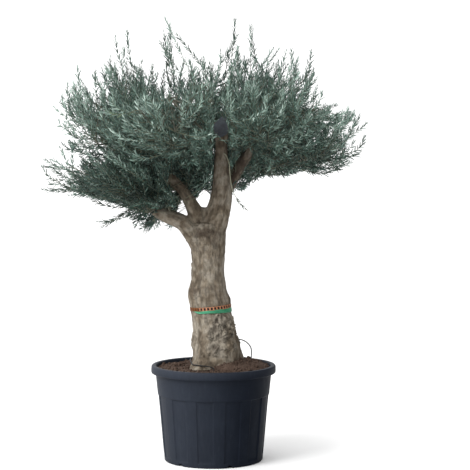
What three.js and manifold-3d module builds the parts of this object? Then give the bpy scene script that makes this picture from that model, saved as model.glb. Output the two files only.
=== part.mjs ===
// A potted olive tree: ribbed nursery pot, soil, leaning trunk with root flare, boughs, and a crown of
// leafy masses. Millimetres, +Z up. The origin is the centre of the pot's underside, and the tree's front
// faces -Y.

import * as THREE from 'three';
import { mergeVertices } from 'three/addons/utils/BufferGeometryUtils.js';
import Module from 'manifold-3d';

const wasm = await Module();
wasm.setup();

const GAP = 0.3; // clearance between pieces that touch on the real plant
const WELD = 1e-3; // vertices nearer than this are one
const TURN = 2 * Math.PI;
const GOLDEN_ANGLE = Math.PI * (3 - Math.sqrt(5));
const UP = new THREE.Vector3(0, 0, 1);

// The pot: a tapered tub with a rolled rim, a smooth shoulder band and twelve sunk panels below it.
const POT = { height: 497, footRadius: 256, shoulderRadius: 302, wall: 4, floor: 18 };
const POT_INNER_SIDES = 30;
const RIM = { radius: 325, height: 42, lip: 8, underLip: 6, roundBelow: 9, roundAbove: 5 };
const BAND = { foot: 345, step: 3, slope: 2 };
// A panel's share of its twelfth of the pot, its slanting edge as such a share, and where the first starts.
const PANEL = { count: 12, share: 0.57, depth: 5, foot: 22, edge: 0.02, turn: 0.0356 };
const NOTCH = { count: 6, width: 32, height: 14, length: 70, sides: 10, turn: 0.885 };

// The soil: flat under the trunk, falling a little towards the wall, and heaped against the trunk's right side.
const SOIL_TOP = 484;
const SOIL = { flatRadius: 195, edgeTop: 482, below: 1 };
const MOUND = { centre: [110, -30, 472], radii: [182, 165, 62], sides: 16, rings: 9 };

// The trunk, by height above the floor: [height, centre x, centre y, mean radius].
const TRUNK_STATIONS = [
  [SOIL_TOP + GAP, 18, 0, 122],
  [544, 17, 0, 119],
  [669, 4, 0, 111],
  [794, -17, 0, 102],
  [888, -28, 0, 94],
  [1000, -28, 2, 84],
  [1080, -28, 5, 88],
  [1170, -34, 10, 99],
  [1235, -34, 12, 86],
];
const FLARE_SPREAD = 54; // how far the root flare stands out at the soil
const FLARE_RISE = 46; // height over which it fades
const FLARE_WIDTH = 0.45; // radians
const FLARE_LOBES = [
  [230, 1.15],
  [4, 1.05],
  [120, 0.7],
  [62, 0.5],
  [180, 0.35],
  [298, 0.45],
]; // [bearing in degrees, share of the spread]
const BURLS = [
  [182, 868, 11, 42],
  [352, 838, 12, 40],
  [185, 606, 13, 26],
  [318, 600, 17, 62],
  [345, 745, 9, 34],
  [262, 900, 8, 34],
  [285, 640, -9, 46],
  [250, 1150, 9, 50],
  [70, 820, 12, 60],
  [120, 640, 14, 55],
  [352, 622, 9, 26],
]; // [bearing in degrees, height, how far it stands out, size]
const TRUNK_SIDES = 24;
const TRUNK_STEPS = 17;

// Boughs and side limbs: centreline and radius at each point. A bough is one piece with the trunk up to its
// split.
const BOUGHS = {
  bough_left_low: {
    line: [[-40, 0, 1100], [-105, -4, 1185], [-165, -8, 1240], [-235, -12, 1272], [-284, -15, 1294],
      [-322, -17, 1322]],
    radii: [62, 52, 43, 38, 31, 27],
    split: 0.36,
  },
  bough_left_high: {
    line: [[-46, 0, 1170], [-84, -2, 1262], [-123, -4, 1347], [-167, -8, 1415], [-265, -12, 1507],
      [-352, -18, 1630]],
    radii: [56, 44, 33, 29, 26, 22],
    split: 0.32,
  },
  bough_centre: {
    line: [[-16, 0, 1160], [14, -5, 1262], [42, -10, 1385], [42, -13, 1540], [41, -16, 1640],
      [44, -20, 1790]],
    radii: [70, 64, 56, 38, 31, 46],
    split: 0.34,
  },
  bough_right: {
    line: [[0, 24, 1160], [22, 45, 1290], [62, 70, 1400], [119, 95, 1492], [172, 110, 1580],
      [246, 122, 1650]],
    radii: [58, 48, 40, 31, 28, 23],
    split: 0.3,
  },
  bough_back: {
    line: [[-14, 36, 1160], [22, 104, 1284], [34, 186, 1384], [36, 262, 1480], [62, 330, 1590]],
    radii: [58, 46, 37, 31, 25],
    split: 0.36,
  },
};
const SIDE_LIMBS = {
  limb_top: { line: [[43, -14, 1640], [20, 40, 1722], [-24, 62, 1800]], radii: [23, 18, 14] },
  limb_front_left: { line: [[-258, -14, 1500], [-250, -110, 1600], [-222, -225, 1712]], radii: [21, 17, 13] },
  limb_front_right: { line: [[150, 102, 1545], [196, -20, 1620], [222, -200, 1722]], radii: [22, 18, 13] },
  limb_right_low: { line: [[172, 110, 1580], [248, 70, 1602], [330, 14, 1628]], radii: [24, 20, 16] },
  limb_back_left: { line: [[35, 262, 1480], [-70, 330, 1548], [-165, 366, 1612]], radii: [26, 20, 16] },
};
// The bark that rounds out the fork between the high left bough and the centre one.
const FORK = { centre: [-54, -4, 1281], radii: [38, 34, 38], sides: 10, rings: 8 };
const BOUGH_MESH = { sides: 10, steps: 12 };
const LIMB_MESH = { sides: 6, steps: 5 };
// Swellings of a limb: their height as a share of the radius, the share of the length over which they fade,
// and waves as how often they go round, how fast they turn along it, and how strong they are.
const LUMPS = { height: 0.05, fade: 0.25, waves: [[2, 9, 1], [3, -14, 0.6]] };

// The pruned head of the centre bough, cut on a slant and painted over.
const CUT_CENTRE = new THREE.Vector3(43, -19, 1728);
const CUT_NORMAL = new THREE.Vector3(-0.1, -0.785, 0.61).normalize();
const SEAL = { thickness: 3, edge: 2 };

// Two ties round the trunk: a marked brown tape, and a green ribbon that crosses it.
const BROWN_TIE = { height: 797, depth: 18, from: 0.4, to: 2.4, rise: 0.09 };
const GREEN_TIE = { height: 780, depth: 18, from: 2.8, to: 4.8, rise: 0.11 };

// The thin watering line: out of the soil, round the back of the trunk and into the soil again at the front.
const LINE = {
  radius: 3,
  sides: 6,
  steps: 34,
  from: [202, 198],
  to: [0, -176],
  high: 618,
  low: 511,
  clear: 7, // from the bark to the line's middle
  sway: 4, // how much further out it runs halfway round
  buried: 8,
  straight: 26, // how high it stands up out of the soil
  shoulder: [-2, -12, -60], // from above its start, and from its highest level
  crest: [34, 26, -4], // from where it meets the trunk
  startBearing: 0.16 * Math.PI,
  endBearing: 1.24 * Math.PI,
  overBearing: 1.34 * Math.PI,
  overClear: 15,
  turnPoints: 9,
  fall: 0.5,
  dip: [10, 14],
};

// The crown. The leaves of a mass fill its ellipsoid, and a few long shoots go on to its named tips. Its
// space is every point that lies nearer to it than to the others, as a share of the ellipsoids' radii.
const MASSES = {
  foliage_left_low: {
    limb: 'bough_left_low',
    centre: [-480, -20, 1440],
    radii: [370, 385, 262],
    tips: [[-894, -30, 1532], [-884, -60, 1412], [-332, -110, 1158], [-226, -150, 1214],
      [-560, -80, 1186]],
  },
  foliage_left_high: {
    limb: 'bough_left_high',
    centre: [-470, -20, 1815],
    radii: [310, 345, 362],
    tips: [[-750, -30, 1952], [-697, -40, 2046], [-440, -40, 2226], [-500, -60, 2188]],
  },
  foliage_top: {
    limb: 'limb_top',
    centre: [-90, 40, 1900],
    radii: [335, 340, 290],
    tips: [[-253, 20, 2313], [-226, 60, 2262], [112, 40, 2300], [122, 60, 2208]],
  },
  foliage_right_high: {
    limb: 'bough_right',
    centre: [320, 30, 1840],
    radii: [345, 345, 308],
    tips: [[198, 30, 2262], [310, 0, 2140], [404, 0, 2132], [506, 0, 2124], [684, 10, 1925]],
  },
  foliage_right_low: {
    limb: 'limb_right_low',
    centre: [420, -30, 1655],
    radii: [315, 360, 200],
    tips: [[775, -30, 1612], [708, -40, 1550], [716, -40, 1796], [600, -60, 1504]],
  },
  foliage_front_left: {
    limb: 'limb_front_left',
    centre: [-205, -400, 1830],
    radii: [335, 315, 255],
    tips: [[-200, -726, 1870]],
  },
  foliage_front_right: {
    limb: 'limb_front_right',
    centre: [250, -385, 1820],
    radii: [340, 325, 245],
    tips: [[260, -716, 1860]],
  },
  foliage_back_left: {
    limb: 'limb_back_left',
    centre: [-275, 395, 1700],
    radii: [385, 350, 335],
    tips: [[-260, 752, 1760]],
  },
  foliage_back_right: {
    limb: 'bough_back',
    centre: [200, 405, 1730],
    radii: [375, 350, 330],
    tips: [[210, 764, 1800]],
  },
};
// Left open: in front of the sealed cut and the bare stretch of the centre bough.
const CLEARINGS = [{ centre: new THREE.Vector3(46, -270, 1722), radii: [64, 300, 80] }];
// Shoots point away from the focus, and up, or low in the crown down.
const FOCUS = new THREE.Vector3(-30, 20, 1300);
const FIELD = { out: 0.7, up: 0.62, level: 1330, rise: 380, droop: -0.45 };
const SPACE_SHARE = 1.5; // no shoot goes further out than this share of the ellipsoid's radius
const BORDER_MARGIN = 0.035; // kept free along the border with a neighbour
const WOOD_MARGIN = 6;
const REACH_STEP = 12;
const STEM = { rise: 0.2, bend: 0.42, width: 0.94, tipRadius: 6, sides: 6, steps: 4 };
// Twigs of each mass besides those to its named tips. They leave the stem further on for a target further
// along it, and end at a share of the ellipsoid's radius.
const TWIG = {
  count: 19, radii: [8, 4], sides: 3, steps: 3, shortest: 60, bend: 0.3, leafShare: 0.6, ends: [0.86, 1.02],
  rootFirst: 0.12, rootLast: 0.9, rootRate: 0.72, rootShift: -0.06, sway: 0.5,
};
const CORE = { share: 0.7, lumps: 0.16, waves: [3, 4] };
// Each leaf stands for a spray of the real ones. A pair stands at each station along a twig.
const LEAF = { length: 176, width: 46, thickness: 10, widest: 0.42, sunk: 3, stations: [0.62, 0.86] };
const LEAF_ANGLE = 0.6; // radians from the twig
const LEAF_ROOM = 0.1; // how far past its twig's target a leaf may reach, as a share of the radius
const LEAF_END = 0.995; // where the last leaf stands
const LEAF_TEST = 0.6; // how far from a leaf's middle to its tip it is tested once more
const SALT = { share: 40, turn: 80 }; // keep the seeded draws apart

// A drooping shoot beside the centre bough.
const DROOP = {
  line: [[44, -22, 1600], [76, -70, 1590], [82, -84, 1507], [98, -88, 1408], [117, -86, 1370],
    [140, -84, 1334], [176, -80, 1304]],
  radii: [5, 2.5],
  sides: 4,
  stepsPerPoint: 2,
  turn: 0.4,
  leaf: { length: 46, width: 12, thickness: 2.4, widest: 0.45, sunk: 1, stations: [0.74, 0.82, 0.9, 0.97] },
};
// How finely the wood is sampled where twigs look for a clear way.
const CLEAR_STEPS = 40;

const bark = new THREE.MeshStandardMaterial({ color: 0x84776a, roughness: 0.92 });
const leafGreen = new THREE.MeshStandardMaterial({ color: 0x5d7566, roughness: 0.7 });
const potPlastic = new THREE.MeshStandardMaterial({ color: 0x2c3138, roughness: 0.55 });
const soilBrown = new THREE.MeshStandardMaterial({ color: 0x3f3029, roughness: 1 });
const sealant = new THREE.MeshStandardMaterial({ color: 0x2b2f3a, roughness: 0.6 });
const brownTape = new THREE.MeshStandardMaterial({ color: 0x8a4a1c, roughness: 0.7 });
const greenRibbon = new THREE.MeshStandardMaterial({ color: 0x1f9a62, roughness: 0.45 });
const linePlastic = new THREE.MeshStandardMaterial({ color: 0x17181a, roughness: 0.5 });

const tree = new THREE.Group();

function solid(geometry) {
  const bare = new THREE.BufferGeometry();
  bare.setAttribute('position', geometry.getAttribute('position'));
  bare.setIndex(geometry.index);
  const merged = mergeVertices(bare, WELD);
  return new wasm.Manifold(new wasm.Mesh({
    numProp: 3,
    vertProperties: merged.getAttribute('position').array,
    triVerts: new Uint32Array(merged.index.array),
  }));
}

function geometryOf(body) {
  const found = body.getMesh();
  const corners = new Float32Array(found.numVert * 3);
  for (let i = 0; i < found.numVert; i++) {
    corners.set(found.vertProperties.subarray(i * found.numProp, i * found.numProp + 3), i * 3);
  }
  const geometry = new THREE.BufferGeometry();
  geometry.setAttribute('position', new THREE.BufferAttribute(corners, 3));
  geometry.setIndex(new THREE.BufferAttribute(new Uint32Array(found.triVerts), 1));
  geometry.computeVertexNormals();
  return geometry;
}

function addPiece(name, body, material) {
  const mesh = new THREE.Mesh(geometryOf(body), material);
  mesh.name = name;
  tree.add(mesh);
}

function largestBody(body) {
  return body.decompose().reduce((best, one) => (one.volume() > best.volume() ? one : best));
}

// The same number between 0 and 1 for the same two whole numbers, so that the tree grows alike each time.
const HASH = [12.9898, 78.233, 43758.5453];
function chance(index, salt) {
  const wave = Math.sin(index * HASH[0] + salt * HASH[1]) * HASH[2];
  return wave - Math.floor(wave);
}

// A closed cylinder whose vertices are placed one by one: share is 0 on the axis and 1 on the side.
function shapedCylinder(sides, steps, place) {
  const geometry = new THREE.CylinderGeometry(1, 1, 1, sides, steps);
  const position = geometry.getAttribute('position');
  for (let i = 0; i < position.count; i++) {
    const share = Math.hypot(position.getX(i), position.getZ(i)) > 0.5 ? 1 : 0;
    const side = Math.round((Math.atan2(position.getX(i), position.getZ(i)) / TURN) * sides);
    const step = Math.round((position.getY(i) + 0.5) * steps);
    const point = place((side + sides) % sides, step, share);
    position.setXYZ(i, point.x, point.y, point.z);
  }
  return geometry;
}

// Rings of the given radius round a line of points, with frames that don't twist.
function tube(points, radiusAt, sides) {
  const last = points.length - 1;
  const frames = [];
  let across = new THREE.Vector3(1, 0, 0);
  points.forEach((point, i) => {
    const along = points[Math.min(i + 1, last)].clone().sub(points[Math.max(i - 1, 0)]).normalize();
    if (i === 0 && Math.abs(along.x) > 0.9) across = new THREE.Vector3(0, 1, 0);
    across = across.clone().addScaledVector(along, -across.dot(along)).normalize();
    frames.push({ across, other: along.clone().cross(across) });
  });
  return shapedCylinder(sides, last, (side, step, share) => {
    const angle = (side / sides) * TURN;
    const radius = share * radiusAt(step / last, angle);
    return points[step].clone()
      .addScaledVector(frames[step].across, radius * Math.cos(angle))
      .addScaledVector(frames[step].other, radius * Math.sin(angle));
  });
}

function lineCurve(line) {
  return new THREE.CatmullRomCurve3(line.map((corner) => new THREE.Vector3(...corner)));
}

function valueAlong(values, share) {
  const at = Math.min(Math.max(share, 0), 1) * (values.length - 1);
  const low = Math.min(Math.floor(at), values.length - 2);
  return values[low] + (values[low + 1] - values[low]) * (at - low);
}

function sampleCurve(curve, steps) {
  return Array.from({ length: steps + 1 }, (_, i) => curve.getPoint(i / steps));
}

// A whole limb, grown on all sides by extra.
function limbSolid(limb, { sides, steps }, extra = 0) {
  const points = sampleCurve(lineCurve(limb.line), steps);
  points[0].add(points[0].clone().sub(points[1]).setLength(extra));
  points[steps].add(points[steps].clone().sub(points[steps - 1]).setLength(extra));
  return solid(tube(points, (share, angle) => {
    const lumps = LUMPS.waves.reduce((sum, [round, along, size]) => (
      sum + size * Math.sin(round * angle + along * share)), 0);
    const height = LUMPS.height * Math.min(1, (1 - share) / LUMPS.fade);
    return valueAlong(limb.radii, share) * (1 + height * lumps) + extra;
  }, sides));
}

function bearingDistance(angle, degrees) {
  const away = Math.abs(angle - (degrees * Math.PI) / 180) % TURN;
  return Math.min(away, TURN - away);
}

function trunkCentre(height) {
  const heights = TRUNK_STATIONS.map((station) => station[0]);
  const last = heights.length - 2;
  let low = heights.findIndex((h, i) => i === last || height < heights[i + 1]);
  low = Math.max(0, low);
  const share = THREE.MathUtils.clamp((height - heights[low]) / (heights[low + 1] - heights[low]), 0, 1);
  const row = (i) => TRUNK_STATIONS[THREE.MathUtils.clamp(i, 0, heights.length - 1)];
  const mixed = (column) => {
    const around = [row(low - 1), row(low), row(low + 1), row(low + 2)];
    const [a, b, c, d] = around.map((station) => station[column]);
    const slope = 0.5 * (c - a);
    const next = 0.5 * (d - b);
    const curve = 2 * b - 2 * c + slope + next;
    return b + share * (slope + share * (3 * (c - b) - 2 * slope - next + share * curve));
  };
  return { x: mixed(1), y: mixed(2), radius: mixed(3) };
}

function trunkRadius(height, angle) {
  const base = trunkCentre(height).radius;
  const flare = FLARE_SPREAD * Math.exp(-(height - SOIL_TOP) / FLARE_RISE);
  const lobes = FLARE_LOBES.reduce((sum, [bearing, share]) => (
    sum + share * Math.exp(-((bearingDistance(angle, bearing) / FLARE_WIDTH) ** 2))), 0);
  const burls = BURLS.reduce((sum, [bearing, high, out, size]) => {
    const sideways = bearingDistance(angle, bearing) * base;
    return sum + out * Math.exp(-(sideways ** 2 + (height - high) ** 2) / size ** 2);
  }, 0);
  return base + flare * lobes + burls;
}

function trunkPoint(height, angle, extra) {
  const { x, y } = trunkCentre(height);
  const radius = trunkRadius(height, angle) + extra;
  return new THREE.Vector3(x + radius * Math.cos(angle), y + radius * Math.sin(angle), height);
}

function trunkShaft(extra) {
  const foot = TRUNK_STATIONS[0][0];
  const head = TRUNK_STATIONS[TRUNK_STATIONS.length - 1][0];
  return solid(shapedCylinder(TRUNK_SIDES, TRUNK_STEPS, (side, step, share) => {
    const height = foot + ((head - foot) * step) / TRUNK_STEPS;
    if (share) return trunkPoint(height, (side / TRUNK_SIDES) * TURN, extra);
    return new THREE.Vector3(trunkCentre(height).x, trunkCentre(height).y, height);
  }));
}

// Everything beyond the plane through a point, as far as the plant goes.
const BLOCK_SIZE = 2000;
function beyond(point, normal, offset) {
  const block = new THREE.BoxGeometry(BLOCK_SIZE, BLOCK_SIZE, BLOCK_SIZE);
  block.translate(0, 0, BLOCK_SIZE / 2 + offset);
  block.applyQuaternion(new THREE.Quaternion().setFromUnitVectors(UP, normal));
  block.translate(point.x, point.y, point.z);
  return solid(block);
}

// The trunk with the first stretch of each bough, the boughs' further stretches, and the side limbs, each
// cut clear of what is already there. It gives back all of them, grown by the gap.
function makeWood() {
  const boughs = Object.entries(BOUGHS).map(([name, bough]) => {
    const curve = lineCurve(bough.line);
    const split = curve.getPoint(bough.split);
    const onward = curve.getTangent(bough.split);
    return {
      name,
      whole: limbSolid(bough, BOUGH_MESH),
      grown: limbSolid(bough, BOUGH_MESH, GAP),
      beyondSplit: beyond(split, onward, 0),
      beyondGap: beyond(split, onward, GAP),
    };
  });
  const fork = new THREE.SphereGeometry(1, FORK.sides, FORK.rings);
  fork.scale(...FORK.radii);
  fork.translate(...FORK.centre);
  const stem = trunkShaft(0).add(solid(fork));
  const trunk = boughs.reduce((sum, one) => sum.add(one.whole.subtract(one.beyondSplit)), stem);
  addPiece('trunk', trunk, bark);
  const shaftBlock = trunkShaft(GAP);
  const grown = { trunk: shaftBlock };
  for (const one of boughs) {
    let bough = one.whole.intersect(one.beyondGap).subtract(shaftBlock);
    for (const other of boughs.filter((candidate) => candidate !== one)) {
      const placed = Object.hasOwn(grown, other.name);
      bough = bough.subtract(placed ? other.grown : other.grown.subtract(other.beyondGap));
    }
    if (one.name === 'bough_centre') bough = bough.subtract(beyond(CUT_CENTRE, CUT_NORMAL, 0));
    addPiece(one.name, largestBody(bough), bark);
    grown[one.name] = one.grown;
  }
  for (const [name, limb] of Object.entries(SIDE_LIMBS)) {
    let made = limbSolid(limb, LIMB_MESH);
    for (const bough of boughs) made = made.subtract(bough.grown);
    addPiece(name, largestBody(made), bark);
    grown[name] = limbSolid(limb, LIMB_MESH, GAP);
  }
  return grown;
}

// A disc over the slanted cut of the centre bough, grown on all sides by extra.
function sealSolid(extra) {
  const head = limbSolid(BOUGHS.bough_centre, BOUGH_MESH, SEAL.edge + extra);
  const under = beyond(CUT_CENTRE, CUT_NORMAL, GAP - extra);
  return head.intersect(under).subtract(beyond(CUT_CENTRE, CUT_NORMAL, GAP + SEAL.thickness + extra));
}

function potRadius(height) {
  const shoulder = POT.height - RIM.height;
  const share = Math.min(height, shoulder) / shoulder;
  return THREE.MathUtils.lerp(POT.footRadius, POT.shoulderRadius, share);
}

function makePot() {
  const rim = POT.height - RIM.height;
  // [height, outer radius, whether the panels are sunk here]
  const levels = [
    [0, potRadius(0) - 1, false],
    [PANEL.foot, potRadius(PANEL.foot), false],
    [PANEL.foot + PANEL.depth, potRadius(PANEL.foot), true],
    [BAND.foot - BAND.slope, potRadius(BAND.foot) - BAND.step, true],
    [BAND.foot, potRadius(BAND.foot), false],
    [rim, potRadius(rim), false],
    [rim + 1, RIM.radius - RIM.underLip, false],
    [rim + RIM.roundBelow, RIM.radius, false],
    [POT.height - RIM.roundAbove, RIM.radius - 2, false],
    [POT.height, RIM.radius - RIM.lip, false],
  ];
  // Corners round one twelfth of the pot: [share of the twelfth, whether it lies in the sunk panel]
  const corners = [
    [0, true], [PANEL.share / 2, true], [PANEL.share - PANEL.edge, true],
    [PANEL.share, false], [(1 + PANEL.share) / 2, false], [1 - PANEL.edge, false],
  ];
  const shell = solid(shapedCylinder(PANEL.count * corners.length, levels.length - 1, (side, step, share) => {
    const [height, radius, sunk] = levels[step];
    const [within, inPanel] = corners[side % corners.length];
    const angle = ((Math.floor(side / corners.length) + within) / PANEL.count + PANEL.turn) * TURN;
    const outer = share * (radius - (sunk && inPanel ? PANEL.depth : 0));
    return new THREE.Vector3(outer * Math.cos(angle), outer * Math.sin(angle), height);
  }));
  let pot = shell.subtract(solid(potInside(0, POT.height + 1)));
  for (let i = 0; i < NOTCH.count; i++) {
    const notch = new THREE.CylinderGeometry(NOTCH.width / 2, NOTCH.width / 2, NOTCH.length, NOTCH.sides);
    notch.scale(1, 1, (2 * NOTCH.height) / NOTCH.width);
    notch.translate(0, POT.footRadius, 0);
    notch.rotateZ((i / NOTCH.count + NOTCH.turn) * TURN);
    pot = pot.subtract(solid(notch));
  }
  addPiece('pot', pot, potPlastic);
}

// A solid of revolution through [radius, height] corners that start and end on the axis.
function turned(corners) {
  const profile = corners.map(([radius, height]) => new THREE.Vector2(radius, height));
  const geometry = new THREE.LatheGeometry(profile, POT_INNER_SIDES);
  geometry.rotateX(Math.PI / 2);
  return geometry;
}

// The pot's inside up to a height, drawn in on all sides by clear.
function potInside(clear, top) {
  const low = POT.floor + clear;
  const shoulder = POT.height - RIM.height;
  const inner = (height) => potRadius(height) - POT.wall - clear;
  return turned([
    [0, low], [inner(low) - PANEL.depth, low], [inner(BAND.foot) - PANEL.depth - BAND.step, BAND.foot],
    [inner(shoulder), shoulder], [inner(shoulder), top], [0, top],
  ]);
}

function makeSoil() {
  const fill = solid(potInside(GAP, POT.height - SOIL.below));
  const above = solid(turned([
    [0, SOIL_TOP], [SOIL.flatRadius, SOIL_TOP], [RIM.radius, SOIL.edgeTop],
    [RIM.radius, POT.height], [0, POT.height],
  ]));
  const mound = new THREE.SphereGeometry(1, MOUND.sides, MOUND.rings);
  mound.scale(...MOUND.radii);
  mound.translate(...MOUND.centre);
  const room = trunkShaft(GAP).translate([0, 0, -GAP]);
  addPiece('soil', fill.subtract(above).add(solid(mound)).subtract(room), soilBrown);
}

function makeTie(name, tie, material) {
  const slab = new THREE.BoxGeometry(BLOCK_SIZE, BLOCK_SIZE, tie.depth);
  slab.rotateY(-tie.rise);
  slab.translate(trunkCentre(tie.height).x, 0, tie.height);
  addPiece(name, trunkShaft(tie.to).subtract(trunkShaft(tie.from)).intersect(solid(slab)), material);
}

function makeWateringLine() {
  const start = trunkPoint(LINE.high, LINE.startBearing, LINE.clear);
  const [fromX, fromY] = LINE.from;
  const [toX, toY] = LINE.to;
  const points = [
    new THREE.Vector3(fromX, fromY, SOIL_TOP - LINE.buried),
    new THREE.Vector3(fromX, fromY, SOIL_TOP + LINE.straight),
    new THREE.Vector3(fromX, fromY, LINE.high).add(new THREE.Vector3(...LINE.shoulder)),
    start.clone().add(new THREE.Vector3(...LINE.crest)),
  ];
  for (let i = 0; i <= LINE.turnPoints; i++) {
    const share = i / LINE.turnPoints;
    const bearing = THREE.MathUtils.lerp(LINE.startBearing, LINE.endBearing, share);
    const height = THREE.MathUtils.lerp(LINE.high, LINE.low, share ** LINE.fall);
    points.push(trunkPoint(height, bearing, LINE.clear + LINE.sway * Math.sin(Math.PI * share)));
  }
  points.push(trunkPoint(LINE.low, LINE.overBearing, LINE.overClear));
  points.push(new THREE.Vector3(toX, toY + LINE.dip[0], SOIL_TOP + LINE.dip[1]));
  points.push(new THREE.Vector3(toX, toY, SOIL_TOP - LINE.buried));
  const section = new THREE.Shape(Array.from({ length: LINE.sides }, (_, i) => (
    new THREE.Vector2(LINE.radius, 0).rotateAround(new THREE.Vector2(), (TURN * i) / LINE.sides))));
  const line = new THREE.ExtrudeGeometry(section, {
    steps: LINE.steps,
    bevelEnabled: false,
    extrudePath: new THREE.CatmullRomCurve3(points, false, 'centripetal'),
  });
  const aboveSoil = beyond(new THREE.Vector3(0, 0, SOIL_TOP), UP, GAP);
  const shown = solid(line).intersect(aboveSoil).subtract(trunkShaft(GAP));
  addPiece('watering_line', largestBody(shown), linePlastic);
}

// Points along all the wood, with the radius there, that twigs and leaves keep clear of.
function woodPoints() {
  return [...Object.values(BOUGHS), ...Object.values(SIDE_LIMBS), DROOP].flatMap(({ line, radii }) => {
    const points = sampleCurve(lineCurve(line), CLEAR_STEPS);
    return points.map((point, i) => ({ point, radius: valueAlong(radii, i / CLEAR_STEPS) }));
  });
}

const wood = woodPoints();
const masses = Object.entries(MASSES).map(([name, { limb, centre, radii, tips }], order) => ({
  name,
  order,
  limb,
  radii,
  centre: new THREE.Vector3(...centre),
  tips: tips.map((tip) => new THREE.Vector3(...tip)),
}));

// The length of an offset, measured with the radii of an ellipsoid.
function lengthIn(radii, offset) {
  return Math.hypot(offset.x / radii[0], offset.y / radii[1], offset.z / radii[2]);
}

function shareOf({ centre, radii }, point) {
  return lengthIn(radii, point.clone().sub(centre));
}

function inSpace(mass, point) {
  const own = shareOf(mass, point);
  if (own > SPACE_SHARE) return false;
  if (masses.some((other) => other !== mass && shareOf(other, point) < own + BORDER_MARGIN)) return false;
  return !CLEARINGS.some((clearing) => shareOf(clearing, point) < 1);
}

function clearOfWood(point, margin) {
  return !wood.some((one) => one.point.distanceTo(point) < one.radius + margin);
}

// How far the mass goes from its middle: to a share of its ellipsoid, or to the end of its space if that is
// nearer.
function reachOf(mass, direction, share) {
  const full = share / lengthIn(mass.radii, direction);
  let reach = 0;
  while (reach < full && inSpace(mass, mass.centre.clone().addScaledVector(direction, reach + REACH_STEP))) {
    reach += REACH_STEP;
  }
  return Math.min(reach, full);
}

// The way shoots point at a place.
function fieldAt(point) {
  const up = FIELD.up * THREE.MathUtils.clamp((point.z - FIELD.level) / FIELD.rise, FIELD.droop, 1);
  return point.clone().sub(FOCUS).setLength(FIELD.out).addScaledVector(UP, up).normalize();
}

// Evenly spread directions round a mass, nudged by the seeded draw.
function spreadDirection(order, index, count) {
  const rise = 1 - (2 * (index + 0.5)) / count;
  const around = index * GOLDEN_ANGLE + order + TWIG.sway * chance(index, order + 1);
  const flat = Math.sqrt(1 - rise * rise);
  return new THREE.Vector3(flat * Math.cos(around), flat * Math.sin(around), rise);
}

// The stem of a mass goes on from the tip of its limb to a little past the middle of the mass.
function stemOf(mass) {
  const limb = BOUGHS[mass.limb] || SIDE_LIMBS[mass.limb];
  const line = lineCurve(limb.line);
  const start = line.getPoint(1);
  const rise = fieldAt(mass.centre);
  const end = mass.centre.clone().addScaledVector(rise, reachOf(mass, rise, STEM.rise));
  const bend = start.clone().addScaledVector(line.getTangent(1), STEM.bend * start.distanceTo(end));
  return { curve: new THREE.QuadraticBezierCurve3(start, bend, end), radius: STEM.width * limb.radii.at(-1) };
}

// Where the twigs of a mass are bound: its named tips, then points spread evenly near the edge of its space.
function targetsOf(mass) {
  const spread = Array.from({ length: TWIG.count }, (_, index) => {
    const direction = spreadDirection(mass.order, index, TWIG.count);
    const share = THREE.MathUtils.lerp(...TWIG.ends, chance(index, mass.order + SALT.share));
    return mass.centre.clone().addScaledVector(direction, reachOf(mass, direction, share));
  });
  return [...mass.tips, ...spread];
}

// One twig: from the stem towards its target, bending into the way shoots point there. Its last leaf ends
// there.
function twigTo(target, stem) {
  const span = stem.curve.v2.clone().sub(stem.curve.v0);
  const along = target.clone().sub(stem.curve.v0).dot(span) / span.lengthSq();
  const from = THREE.MathUtils.clamp(TWIG.rootRate * along + TWIG.rootShift, TWIG.rootFirst, TWIG.rootLast);
  const root = stem.curve.getPoint(from);
  const field = fieldAt(target);
  const length = root.distanceTo(target);
  const end = target.clone().addScaledVector(field, -Math.min(LEAF.length, TWIG.leafShare * length));
  const bend = end.clone().addScaledVector(field, -TWIG.bend * length);
  return new THREE.QuadraticBezierCurve3(root, bend, end);
}

// The twig's points up to where its space ends or a limb stands in its way.
function openStretch(mass, twig) {
  const points = [twig.getPoint(0)];
  for (let i = 1; i <= TWIG.steps; i++) {
    const point = twig.getPoint(i / TWIG.steps);
    if (!inSpace(mass, point) || !clearOfWood(point, WOOD_MARGIN + TWIG.radii[0])) break;
    points.push(point);
  }
  return points;
}

// A direction square to the shoot, turned round it.
function leafAxis(along, turn) {
  return new THREE.Vector3().crossVectors(along, UP).normalize().applyAxisAngle(along, turn);
}

// A leaf as a closed kite with a ridge along its upper side: root, tip and two edges.
function leafCorners(size, root, direction, side) {
  const middle = root.clone().addScaledVector(direction, size.length * size.widest);
  return {
    middle,
    root,
    tip: root.clone().addScaledVector(direction, size.length),
    edges: [-1, 1].map((way) => middle.clone().addScaledVector(side, (way * size.width) / 2)),
    drop: new THREE.Vector3().crossVectors(direction, side).setLength(size.thickness),
  };
}

function leafSolid(leaf) {
  const geometry = new THREE.TetrahedronGeometry(1);
  const position = geometry.getAttribute('position');
  for (let i = 0; i < position.count; i++) {
    const onRidge = position.getZ(i) > 0;
    const ahead = position.getX(i) > 0;
    const ridgePoint = ahead ? leaf.tip : leaf.root;
    const edgePoint = leaf.edges[ahead ? 1 : 0].clone().add(leaf.drop);
    const point = onRidge ? ridgePoint : edgePoint;
    position.setXYZ(i, point.x, point.y, point.z);
  }
  return solid(geometry);
}

// Whether a leaf shows outside the core, keeps to its mass's space and clears the wood.
function leafFits(mass, leaf, furthest) {
  if (shareOf(mass, leaf.tip) < CORE.share + LEAF_ROOM) return false;
  const outer = leaf.middle.clone().lerp(leaf.tip, LEAF_TEST);
  return [leaf.middle, outer, leaf.tip, ...leaf.edges].every((point) => (
    shareOf(mass, point) < furthest && inSpace(mass, point) && clearOfWood(point, WOOD_MARGIN)));
}

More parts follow.
